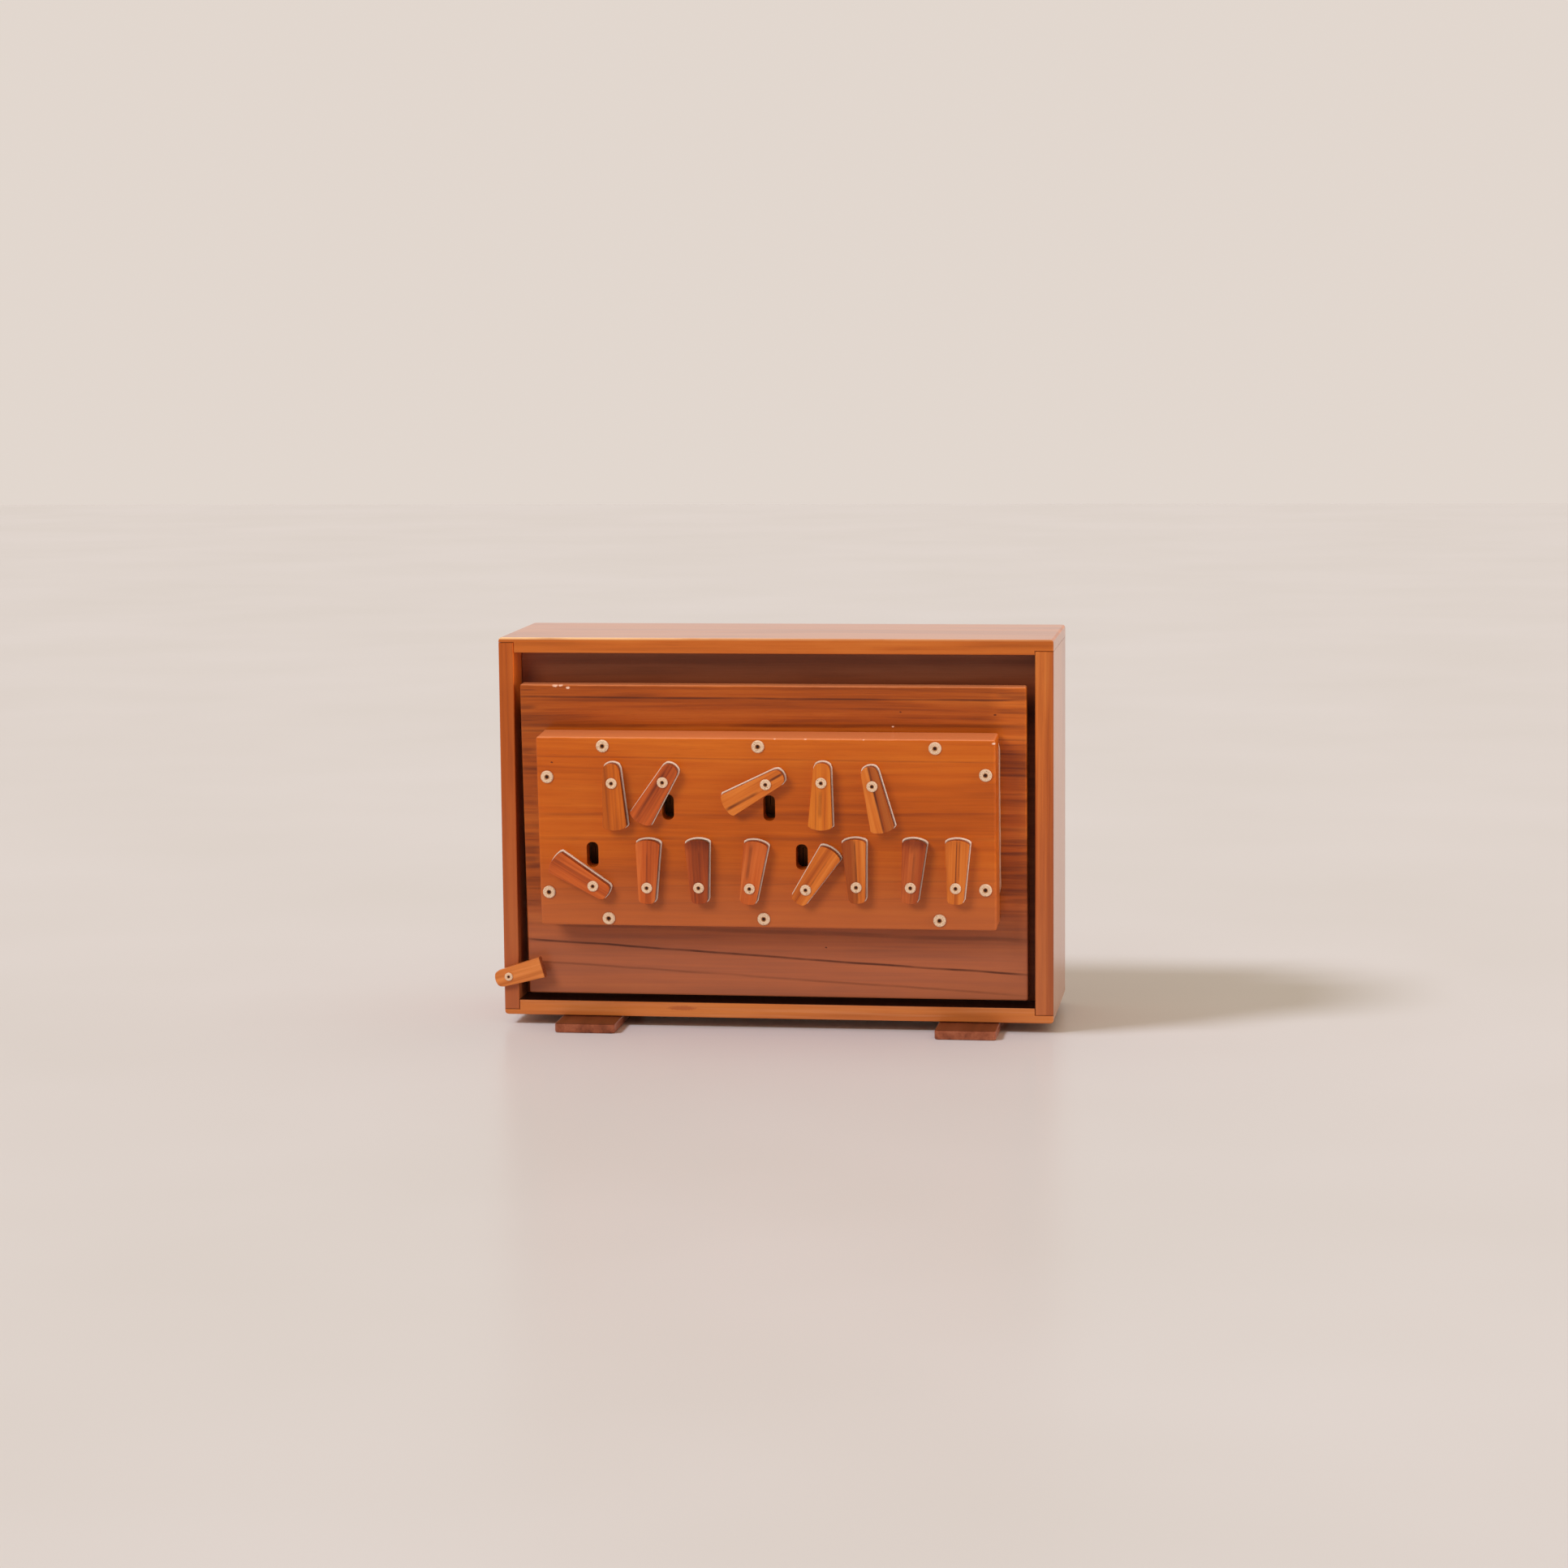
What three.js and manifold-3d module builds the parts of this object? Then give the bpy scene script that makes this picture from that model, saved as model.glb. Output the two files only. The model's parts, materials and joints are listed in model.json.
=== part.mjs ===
import * as THREE from "three";
import { mergeVertices } from "three/addons/utils/BufferGeometryUtils.js";
import Module from "manifold-3d";

// A shruti box: a hand-pumped drone organ in a hardwood frame. Thirteen swinging levers on the front
// cover the tone slots of a reed chest. The chest rides on a sprung reservoir board, and a second
// board at the back, hinged at its foot, is the pump. Lengths are in millimetres and +Z is up.

const wasm = await Module();
wasm.setup();

// The frame of four boards.
const CASE_WIDTH = 360;
const CASE_HEIGHT = 248;
const CASE_DEPTH = 110;
const TOP_BOARD = 10;
const BOTTOM_BOARD = 10;
const LEFT_BOARD = 10;
const RIGHT_BOARD = 12;
const CORNER_ROUND = 2.4;
const CASE_EDGE = 0.7;
// What each rabbet leaves of the long board over the end of a side board.
const TOP_LEFT_LIP = 3.3;
const TOP_RIGHT_LIP = 7.6;
const BOTTOM_LEFT_LIP = 3.3;
const BOTTOM_RIGHT_LIP = 5;

// Clearances.
const GLUE_LINE = 0.2; // between boards that are glued together
const FIT_GAP = 0.3; // between pieces that only rest on each other
const CUT_OVERRUN = 1; // how far a cutting tool runs past what it cuts
const JOIN_OVERLAP = 0.4; // how far two shapes of one piece run into each other

// The fixed board between the reservoir and the pump.
const CENTRE_BOARD = 8;
const CENTRE_SETBACK = 25; // from the front of the frame to the centre board
const VALVE_HOLE_RADIUS = 6;
const VALVE_HOLE_PITCH = 26;
const VALVE_HOLE_COUNT = 4;
const VALVE_HOLE_HEIGHT = 62; // above the foot of the board that has the holes
const VALVE_FLAP_WIDTH = 116;
const VALVE_FLAP_HEIGHT = 28;
const VALVE_FLAP_THICKNESS = 1.6;
const VALVE_FLAP_ROUND = 3;

// The reservoir board, which leans forward on its bottom edge.
const PANEL_SIDE_GAP = 5; // to the side boards
const PANEL_TOP_GAP = 19.4; // to the top board, before it leans
const PANEL_THICKNESS = 9;
const PANEL_EDGE = 1;
const PANEL_CORNER = 1.5;
const PANEL_FOOT_GAP = 3.1; // over the bottom board
const PANEL_FOOT_SETBACK = 8; // behind the front of the frame
const PANEL_LEAN_DEG = 4;
const VENT_WIDTH_SHARE = 0.0203; // the slots that let air through to the reeds
const VENT_LENGTH_SHARE = 0.0949;

// The reed chest and its leather seal.
const CHEST_SIDE_MARGIN = 16.5; // from the edge of the reservoir board to the chest
const CHEST_MIDDLE_SHARE = 0.5584; // of the reservoir board's height, up to the chest's middle
const CHEST_THICKNESS = 26;
const CHEST_FRONT_WALL = 10;
const CHEST_CORNER = 1.8;
const CHEST_EDGE = 1.2;
const CHEST_SIDE_OFFSET = -1; // of the chest's middle from the board's middle
const GASKET_THICKNESS = 2;
const GASKET_PROUD = 0.6; // how far the seal shows past the chest's right end
const GASKET_INSET = 0.8; // behind its other edges

// The tone slots and the cells behind them. These plan sizes, and those of the reeds and levers, are
// shares of the chest's width, so that all thirteen tones still fit side by side on another chest.
const SLOT_WIDTH_SHARE = 0.026;
const SLOT_LENGTH_SHARE = 0.0565;
const SLOT_REACH_SHARE = 0.0602; // from a lever's pivot to the middle of its slot
const CELL_WIDTH_SHARE = 0.0475;
const CELL_LENGTH_SHARE = 0.1593;
const CELL_PAST_SLOT_SHARE = 0.0136; // how far a cell runs past its slot

// The reed board and its brass reeds.
const REED_BOARD_SIDE_MARGIN = 13.5; // inside the chest's ends
const REED_BOARD_EDGE_MARGIN = 9.75; // inside the chest's top and foot
const REED_BOARD_THICKNESS = 5;
const REED_BOARD_CORNER = 6;
const REED_PLATE_WIDTH_SHARE = 0.0305;
const REED_PLATE_LENGTH_SHARE = 0.1288;
const REED_PLATE_THICKNESS = 1.6;
const REED_SLOT_WIDTH_SHARE = 0.0136;
const REED_SLOT_LENGTH_SHARE = 0.0881;
const TONGUE_WIDTH_SHARE = 0.0102;
const TONGUE_THICKNESS = 0.6;
const TONGUE_ROOT_SHARE = 0.0102; // how far the tongue's fixed end runs on over the plate

// The tone levers. The outline is a tapered blade with two crowned ends.
const LEVER_REACH_SHARE = 0.1051; // pivot to free end
const UPPER_LEVER_TAIL_SHARE = 0.0427; // pivot to the short end, upper row
const LOWER_LEVER_TAIL_SHARE = 0.0366; // the same, lower row
const LEVER_TAIL_WIDTH_SHARE = 0.0366;
const LEVER_FREE_WIDTH_SHARE = 0.0529;
const FREE_CROWN_SHARE = 0.0071;
const UPPER_TAIL_CROWN_SHARE = 0.0088;
const LOWER_TAIL_CROWN_SHARE = 0.0045;
const LEVER_BLADE = 6;
const LEVER_EDGE = 0.9;
const PAD_THICKNESS = 2.4;
const PAD_PROUD = 0.4; // how far the leather shows past the blade
const ROW_GAP_SHARE = 0.0176; // between the free ends of the two rows, when they hang and stand straight
const LOWER_ROW_MARGIN_SHARE = 0.0983; // from the foot of the chest to the lower pivots
const UPPER_ROW_MARGIN_SHARE = 0.0925; // from the upper pivots to the top of the chest

// Screws with their cup washers.
const SCREW_SHANK_RADIUS = 1.5;
const SCREW_TIP = 2;
const CHEST_WASHER_RADIUS = 4.1;
const LEVER_WASHER_RADIUS = 3.5;
const LATCH_WASHER_RADIUS = 2.7;
const WASHER_HEIGHT = 1.5;
const WASHER_RIM_SHARE = 0.62; // of the washer's radius, at its upper rim
const WASHER_FLANK_SHARE = 0.4; // of the washer's height, where its flank starts to lean in
const HEAD_RADIUS_SHARE = 0.75; // of the rim's radius, where the screw's head meets the washer
const HEAD_RIM_SHARE = 0.6; // of the washer's height, up to the rim of the screw's head
const HEAD_CROWN_SHARE = 0.75; // of the washer's height, up to the middle of the screw's head
const CHEST_SCREW_BITE = 7; // into the reservoir board
const LEVER_SCREW_BITE = 7; // into the chest's front wall
const LATCH_SCREW_BITE = 14; // into the edge of a case board

// The turn buttons that hold the moving boards.
const LATCH_REACH = 23.6;
const LATCH_TAIL = 9.5;
const LATCH_WIDTH = 13.8; // at its free end
const LATCH_TAIL_WIDTH_SHARE = 0.82; // of that width
const LATCH_SHOULDER_SHARE = 0.68; // of its tail, from the pivot to where the end starts to round
const LATCH_THICKNESS = 6;
const LATCH_EDGE = 0.8;
const LATCH_PIVOT_HEIGHT = 26.1; // above the underside of the case
const LATCH_FROM_SIDE = 4.4; // from the case's left side to the button's screw
const LATCH_REST_DEG = 16;
const REAR_LATCH_WIDTH = 10;
const REAR_LATCH_DROP = 1.5; // below the top of the case, at rest

// The two swivel feet.
const FOOT_WIDTH = 39.5;
const FOOT_LENGTH = 110;
const FOOT_THICKNESS = 6;
const FOOT_EDGE = 0.8;
const FOOT_CORNER = 3;
const LEFT_FOOT_FROM_SIDE = 58.3; // from the case's left side to the foot's screw
const RIGHT_FOOT_FROM_SIDE = 54.6;
const FOOT_PROUD = 28; // how far a foot stands out in front of the case
const FOOT_SCREW_HEAD_RADIUS = 4;
const FOOT_SCREW_HEAD = 2.2;
const FOOT_SCREW_RECESS = 0.6; // of the head behind the underside
const FOOT_SCREW_BITE = 7;

// The pump board, which springs open at the back.
const PUMP_SIDE_GAP = 4; // to the side boards
const PUMP_TOP_GAP = 4.5; // to the top board, when it is shut
const PUMP_THICKNESS = 9;
const PUMP_FOOT_GAP = 3.5;
const PUMP_EDGE = 1.2;
const PUMP_CORNER = 2;
const PUMP_OPEN_DEG = 12;
const PUMP_HOLE_SHARE = 0.6818; // of the pump board's height, up to its row of holes

// The leather bellows: rings that zigzag from board to board.
const BELLOWS_WALL = 1.6;
const BELLOWS_CORNER = 10;
const RESERVOIR_RING_INSET = 12; // from the edge of the reservoir board to the outer folds
const RESERVOIR_FOLD = 6; // how far an inner fold lies inside an outer one
const RESERVOIR_FOLD_COUNT = 2;
const FEEDER_RING_INSET = 5;
const FEEDER_FOLD = 12;
const FEEDER_FOLD_COUNT = 4;
const BELLOWS_CORNER_STEPS = 2;

// The springs.
const COIL_RADIUS = 4.5;
const COIL_WIRE_RADIUS = 0.7;
const COIL_TURNS = 5;
const COIL_STEPS = 9; // per turn
const COIL_SIDES = 5;
const COIL_HEIGHT_SHARE = 0.837; // of the reservoir board's height
const COIL_SIDE_SHARE = 0.33; // of the board's width, from its middle
const VEE_WIRE_RADIUS = 1.5;
const VEE_APEX_SHARE = 0.1; // of the pump board's height
const VEE_FRONT_SHARE = 0.475;
const VEE_REAR_SHARE = 0.4932;
const VEE_APEX_DEPTH_SHARE = 0.42; // of the way from the centre board to the closed pump board
const VEE_FOOT = 14; // the wire's end that lies along the board
const VEE_BEND = 7;
const VEE_STEPS = 32;
const VEE_SIDES = 6;

// Places along the chest's width, from its middle, as shares of that width.
const UPPER_PIVOT_SHARES = [-0.33, -0.218, 0.007, 0.1275, 0.2375];
const LOWER_PIVOT_SHARES = [-0.377, -0.258, -0.144, -0.0325, 0.09, 0.2, 0.3175, 0.415];
// The small wander of the hand-set pivots above and below their rows, in the same shares.
const UPPER_RISE_SHARES = [-0.003, 0, -0.0025, 0.002, -0.0045];
const LOWER_RISE_SHARES = [-0.0035, -0.006, -0.0045, -0.005, -0.006, 0.001, 0.0015, 0.0015];
// How far each tone's slot, cell and reed lie to the right of its lever's pivot, in the same shares.
const UPPER_ASIDE_SHARES = [0, 0.0058, 0.0026, 0, 0];
const LOWER_ASIDE_SHARES = [-0.0045, 0, 0, 0, -0.011, 0, 0, 0];
// How far each lever's free end leans to the right of upright, in degrees.
const UPPER_LEAN_DEGS = [2.6, -32, -60.8, -2.4, 12.6];
const LOWER_LEAN_DEGS = [-58.5, 2, -1.8, 8.9, 34, -2.8, 5.6, 2.6];
// Chest screws: across and up, from the chest's middle, as shares of its width and height.
const CHEST_SCREW_SHARES = [
  [-0.353, 0.455],
  [-0.0125, 0.458],
  [0.371, 0.456],
  [-0.477, 0.29],
  [0.479, 0.318],
  [-0.48, -0.323],
  [0.477, -0.284],
  [-0.349, -0.46],
  [-0.0067, -0.4525],
  [0.377, -0.448],
];

// Facets of round forms.
const HOLE_SIDES = 8;
const SCREW_SIDES = 10;
const CORNER_STEPS = 3;
const CROWN_STEPS = 4;
const ROUND_SIDES = 16;
const SLOT_STEPS = 2;
const EDGE_STEPS = 2;

const QUARTER_TURN = Math.PI / 2;
const radians = THREE.MathUtils.degToRad;

const caseWood = new THREE.MeshStandardMaterial({ color: 0xbe6023, roughness: 0.35 });
const panelWood = new THREE.MeshStandardMaterial({ color: 0xa54b1e, roughness: 0.4 });
const chestWood = new THREE.MeshStandardMaterial({ color: 0xc0601f, roughness: 0.35 });
const leverWood = new THREE.MeshStandardMaterial({ color: 0xc46a2c, roughness: 0.35 });
const footWood = new THREE.MeshStandardMaterial({ color: 0x78402a, roughness: 0.5 });
const innerWood = new THREE.MeshStandardMaterial({ color: 0x6d3620, roughness: 0.6 });
const paleLeather = new THREE.MeshStandardMaterial({ color: 0xe8dccb, roughness: 0.8 });
const darkLeather = new THREE.MeshStandardMaterial({ color: 0x2c1a15, roughness: 0.75 });
const brass = new THREE.MeshStandardMaterial({ color: 0xd8c08a, roughness: 0.35, metalness: 1 });
const steel = new THREE.MeshStandardMaterial({ color: 0x8f9094, roughness: 0.35, metalness: 1 });

// A closed geometry as a solid that can be joined and cut.
function solidOf(geometry) {
  const bare = geometry.clone();
  bare.deleteAttribute("normal");
  bare.deleteAttribute("uv");
  const merged = mergeVertices(bare);
  return new wasm.Manifold(
    new wasm.Mesh({
      numProp: 3,
      vertProperties: new Float32Array(merged.attributes.position.array),
      triVerts: new Uint32Array(merged.index.array),
    }),
  );
}

function geometryOf(solid) {
  const mesh = solid.getMesh();
  const geometry = new THREE.BufferGeometry();
  geometry.setAttribute("position", new THREE.BufferAttribute(new Float32Array(mesh.vertProperties), 3));
  geometry.setIndex(new THREE.BufferAttribute(new Uint32Array(mesh.triVerts), 1));
  geometry.computeVertexNormals();
  return geometry;
}

function cut(geometry, tools) {
  return geometryOf(tools.reduce((body, tool) => body.subtract(solidOf(tool)), solidOf(geometry)));
}

function join(geometries) {
  const [first, ...rest] = geometries.map(solidOf);
  return geometryOf(rest.reduce((body, next) => body.add(next), first));
}

// A rectangle with rounded corners, given by its middle and its two sizes.
function roundedRectangle(width, height, radius, x = 0, y = 0) {
  const left = x - width / 2;
  const right = x + width / 2;
  const low = y - height / 2;
  const high = y + height / 2;
  const shape = new THREE.Shape();
  shape.moveTo(left + radius, low);
  shape.lineTo(right - radius, low);
  shape.absarc(right - radius, low + radius, radius, -QUARTER_TURN, 0);
  shape.lineTo(right, high - radius);
  shape.absarc(right - radius, high - radius, radius, 0, QUARTER_TURN);
  shape.lineTo(left + radius, high);
  shape.absarc(left + radius, high - radius, radius, QUARTER_TURN, Math.PI);
  shape.lineTo(left, low + radius);
  shape.absarc(left + radius, low + radius, radius, Math.PI, Math.PI + QUARTER_TURN);
  return shape;
}

// A square-cornered rectangle, given by its middle and its two sizes.
function rectangle(width, height, x = 0, y = 0) {
  const shape = new THREE.Shape();
  shape.moveTo(x - width / 2, y - height / 2);
  shape.lineTo(x + width / 2, y - height / 2);
  shape.lineTo(x + width / 2, y + height / 2);
  shape.lineTo(x - width / 2, y + height / 2);
  return shape;
}

// An outline given thickness along +Z from a base height, with its two rims eased.
function board(outline, base, thickness, edge, steps = CORNER_STEPS) {
  const geometry = new THREE.ExtrudeGeometry(outline, {
    depth: thickness - 2 * edge,
    curveSegments: steps,
    bevelEnabled: edge > 0,
    bevelThickness: edge,
    bevelSize: edge,
    bevelOffset: -edge,
    bevelSegments: EDGE_STEPS,
  });
  geometry.translate(0, 0, base + edge);
  return geometry;
}

// A plain outline given thickness along +Z, used for cuts and for square-edged pieces.
function slab(outline, base, thickness, steps = CORNER_STEPS) {
  const geometry = new THREE.ExtrudeGeometry(outline, {
    depth: thickness,
    curveSegments: steps,
    bevelEnabled: false,
  });
  geometry.translate(0, 0, base);
  return geometry;
}

// A round peg along +Z.
function peg(radius, base, length, x, y, sides = HOLE_SIDES) {
  const geometry = new THREE.CylinderGeometry(radius, radius, length, sides);
  geometry.rotateX(QUARTER_TURN);
  geometry.translate(x, y, base + length / 2);
  return geometry;
}

// A slot with round ends that stands upright.
function slotTool(width, length, base, depth, x, y) {
  const outline = roundedRectangle(width, length, width / 2 - JOIN_OVERLAP, x, y);
  return slab(outline, base, depth, SLOT_STEPS);
}

// A screw with its cup washer, turned about +Z. The washer's seat is at zero.
function screwWithWasher(washerRadius, shankLength) {
  const rim = washerRadius * WASHER_RIM_SHARE;
  const profile = [
    [0, -shankLength],
    [SCREW_SHANK_RADIUS, -shankLength + SCREW_TIP],
    [SCREW_SHANK_RADIUS, 0],
    [washerRadius, 0],
    [washerRadius, WASHER_HEIGHT * WASHER_FLANK_SHARE],
    [rim, WASHER_HEIGHT],
    [rim * HEAD_RADIUS_SHARE, WASHER_HEIGHT * HEAD_RIM_SHARE],
    [0, WASHER_HEIGHT * HEAD_CROWN_SHARE],
  ].map(([x, y]) => new THREE.Vector2(x, y));
  const geometry = new THREE.LatheGeometry(profile, SCREW_SIDES);
  geometry.rotateX(QUARTER_TURN);
  return geometry;
}

function piece(name, geometry, material, parent) {
  const mesh = new THREE.Mesh(geometry, material);
  mesh.name = name;
  parent.add(mesh);
  return mesh;
}

const part = new THREE.Group();
part.name = "shruti_box";

// Inside this group X runs across, Y runs up from the underside of the case, and Z runs forward
// from its back.
const casing = new THREE.Group();
casing.rotation.x = QUARTER_TURN;
casing.position.set(0, CASE_DEPTH / 2, FOOT_THICKNESS + FIT_GAP);
part.add(casing);

const caseLeft = -CASE_WIDTH / 2;
const caseRight = CASE_WIDTH / 2;
const openingLeft = caseLeft + LEFT_BOARD;
const openingRight = caseRight - RIGHT_BOARD;
const openingLow = BOTTOM_BOARD;
const openingHigh = CASE_HEIGHT - TOP_BOARD;
const openingMiddle = (openingLeft + openingRight) / 2;
const openingWidth = openingRight - openingLeft;
const openingHeight = openingHigh - openingLow;

// A long board of the frame: full width, rounded at its outer corners and rabbeted at both ends to
// take the side boards. Its outer face lies at the given height, and it thickens inward from there.
function longBoardOutline(face, inward, thickness, leftLip, rightLip) {
  const inner = face + inward * thickness;
  const round = face + inward * CORNER_ROUND;
  const shape = new THREE.Shape();
  shape.moveTo(caseLeft + CORNER_ROUND, face);
  shape.lineTo(caseRight - CORNER_ROUND, face);
  shape.quadraticCurveTo(caseRight, face, caseRight, round);
  shape.lineTo(caseRight, face + inward * rightLip);
  shape.lineTo(openingRight, face + inward * rightLip);
  shape.lineTo(openingRight, inner);
  shape.lineTo(openingLeft, inner);
  shape.lineTo(openingLeft, face + inward * leftLip);
  shape.lineTo(caseLeft, face + inward * leftLip);
  shape.lineTo(caseLeft, round);
  shape.quadraticCurveTo(caseLeft, face, caseLeft + CORNER_ROUND, face);
  return shape;
}

// A side board between the two lips, a glue line clear of the long boards.
function sideBoardOutline(left, right, lowLip, highLip) {
  const low = lowLip + GLUE_LINE;
  const high = CASE_HEIGHT - highLip - GLUE_LINE;
  return rectangle(right - left, high - low, (left + right) / 2, (low + high) / 2);
}

const leftFootX = caseLeft + LEFT_FOOT_FROM_SIDE;
const rightFootX = caseRight - RIGHT_FOOT_FROM_SIDE;
const footZ = CASE_DEPTH + FOOT_PROUD - FOOT_LENGTH / 2;
const latchX = caseLeft + LATCH_FROM_SIDE;
const rearLatchY = CASE_HEIGHT - REAR_LATCH_DROP - REAR_LATCH_WIDTH / 2;
const pilotRadius = SCREW_SHANK_RADIUS + FIT_GAP;

const topOutline = longBoardOutline(CASE_HEIGHT, -1, TOP_BOARD, TOP_LEFT_LIP, TOP_RIGHT_LIP);
piece(
  "case_top_board",
  cut(board(topOutline, 0, CASE_DEPTH, CASE_EDGE), [
    peg(pilotRadius, -CUT_OVERRUN, LATCH_SCREW_BITE + FIT_GAP + CUT_OVERRUN, 0, rearLatchY),
  ]),
  caseWood,
  casing,
);

const bottomTools = [leftFootX, rightFootX].map((x) => {
  const tool = new THREE.CylinderGeometry(
    pilotRadius,
    pilotRadius,
    FOOT_SCREW_BITE + FIT_GAP + CUT_OVERRUN,
    HOLE_SIDES,
  );
  tool.translate(x, (FOOT_SCREW_BITE + FIT_GAP - CUT_OVERRUN) / 2, footZ);
  return tool;
});
const bottomOutline = longBoardOutline(0, 1, BOTTOM_BOARD, BOTTOM_LEFT_LIP, BOTTOM_RIGHT_LIP);
piece(
  "case_bottom_board",
  cut(board(bottomOutline, 0, CASE_DEPTH, CASE_EDGE), bottomTools),
  caseWood,
  casing,
);

const latchPilotBase = CASE_DEPTH - LATCH_SCREW_BITE - FIT_GAP;
const leftInner = openingLeft - GLUE_LINE;
const rightInner = openingRight + GLUE_LINE;
const leftOutline = sideBoardOutline(caseLeft, leftInner, BOTTOM_LEFT_LIP, TOP_LEFT_LIP);
const rightOutline = sideBoardOutline(rightInner, caseRight, BOTTOM_RIGHT_LIP, TOP_RIGHT_LIP);
piece(
  "case_left_board",
  cut(board(leftOutline, 0, CASE_DEPTH, CASE_EDGE), [
    peg(
      pilotRadius,
      latchPilotBase,
      LATCH_SCREW_BITE + FIT_GAP + CUT_OVERRUN,
      latchX,
      LATCH_PIVOT_HEIGHT,
    ),
  ]),
  caseWood,
  casing,
);
piece("case_right_board", board(rightOutline, 0, CASE_DEPTH, CASE_EDGE), caseWood, casing);

// The centre board fills the opening and has a row of valve holes into the reservoir.
const centreFront = CASE_DEPTH - CENTRE_SETBACK;
const centreBack = centreFront - CENTRE_BOARD;

function valveHoles(base, thickness, middleX, middleY) {
  const holes = [];
  for (let hole = 0; hole < VALVE_HOLE_COUNT; hole += 1) {
    const x = middleX + (hole - (VALVE_HOLE_COUNT - 1) / 2) * VALVE_HOLE_PITCH;
    holes.push(
      peg(VALVE_HOLE_RADIUS, base - CUT_OVERRUN, thickness + 2 * CUT_OVERRUN, x, middleY, ROUND_SIDES),
    );
  }
  return holes;
}

const centreHoleY = openingLow + VALVE_HOLE_HEIGHT;
piece(
  "centre_board",
  cut(
    slab(
      rectangle(
        openingWidth - 2 * GLUE_LINE,
        openingHeight - 2 * GLUE_LINE,
        openingMiddle,
        openingLow + openingHeight / 2,
      ),
      centreBack,
      CENTRE_BOARD,
    ),
    valveHoles(centreBack, CENTRE_BOARD, openingMiddle, centreHoleY),
  ),
  innerWood,
  casing,
);
const flapOutline = roundedRectangle(VALVE_FLAP_WIDTH, VALVE_FLAP_HEIGHT, VALVE_FLAP_ROUND);
const deliveryFlap = piece(
  "delivery_valve_flap",
  slab(flapOutline, 0, VALVE_FLAP_THICKNESS),
  paleLeather,
  casing,
);
deliveryFlap.position.set(openingMiddle, centreHoleY, centreFront + FIT_GAP);

// The reservoir board leans forward on its foot. Inside this group X runs across from its middle,
// Y runs up its front face from its foot, and Z runs out of that face.
const reservoir = new THREE.Group();
reservoir.position.set(openingMiddle, openingLow + PANEL_FOOT_GAP, CASE_DEPTH - PANEL_FOOT_SETBACK);
reservoir.rotation.x = radians(PANEL_LEAN_DEG);
casing.add(reservoir);

const panelWidth = openingWidth - 2 * PANEL_SIDE_GAP;
const panelHeight = openingHeight - PANEL_FOOT_GAP - PANEL_TOP_GAP;
const chestWidth = panelWidth - 2 * CHEST_SIDE_MARGIN;
const toned = (share) => share * chestWidth;
const rowReach = toned(LEVER_REACH_SHARE + ROW_GAP_SHARE / 2);
const chestHeight = 2 * rowReach + toned(LOWER_ROW_MARGIN_SHARE + UPPER_ROW_MARGIN_SHARE);
const chestX = CHEST_SIDE_OFFSET;
const chestY = panelHeight * CHEST_MIDDLE_SHARE;
const gasketBack = FIT_GAP;
const chestBack = gasketBack + GASKET_THICKNESS + FIT_GAP;
const chestFront = chestBack + CHEST_THICKNESS;
const chestScrewPlaces = CHEST_SCREW_SHARES.map(([across, up]) => [
  chestX + across * chestWidth,
  chestY + up * chestHeight,
]);

function chestScrewTools(base, length) {
  return chestScrewPlaces.map(([x, y]) => peg(pilotRadius, base, length, x, y));
}

// Each tone has a lever, a slot, a cell and a reed. The upper row hangs from its pivots and the
// lower row stands on them, so their slots lie below and above.
function tones() {
  const lowerY = chestY - chestHeight / 2 + toned(LOWER_ROW_MARGIN_SHARE);
  const upper = UPPER_PIVOT_SHARES.map((share, index) => ({
    name: "upper_" + (index + 1),
    pivotX: chestX + toned(share),
    pivotY: lowerY + 2 * rowReach + toned(UPPER_RISE_SHARES[index]),
    x: chestX + toned(share + UPPER_ASIDE_SHARES[index]),
    y: lowerY + 2 * rowReach,
    away: -1,
    turn: Math.PI + radians(UPPER_LEAN_DEGS[index]),
  }));
  const lower = LOWER_PIVOT_SHARES.map((share, index) => ({
    name: "lower_" + (index + 1),
    pivotX: chestX + toned(share),
    pivotY: lowerY + toned(LOWER_RISE_SHARES[index]),
    x: chestX + toned(share + LOWER_ASIDE_SHARES[index]),
    y: lowerY,
    away: 1,
    turn: -radians(LOWER_LEAN_DEGS[index]),
  }));
  return [...upper, ...lower];
}

const toneList = tones();
const reedBack = chestBack;
const reedFront = reedBack + REED_BOARD_THICKNESS;
const reedBoardWidth = chestWidth - 2 * REED_BOARD_SIDE_MARGIN;
const reedBoardHeight = chestHeight - 2 * REED_BOARD_EDGE_MARGIN;
const cellFloor = chestFront - CHEST_FRONT_WALL;

// The far end of a cell lies a little past its slot, and its other end runs under the lever's pivot.
function cellMiddle(tone) {
  const farEnd = SLOT_REACH_SHARE + SLOT_LENGTH_SHARE / 2 + CELL_PAST_SLOT_SHARE;
  return tone.y + tone.away * toned(farEnd - CELL_LENGTH_SHARE / 2);
}

// One cut for each reed's vent, through a sheet or board at the given depth.
function ventTools(width, length, base, depth) {
  return toneList.map((tone) =>
    slab(
      rectangle(toned(width), toned(length), tone.x, cellMiddle(tone)),
      base - CUT_OVERRUN,
      depth + 2 * CUT_OVERRUN,
    ),
  );
}

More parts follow.
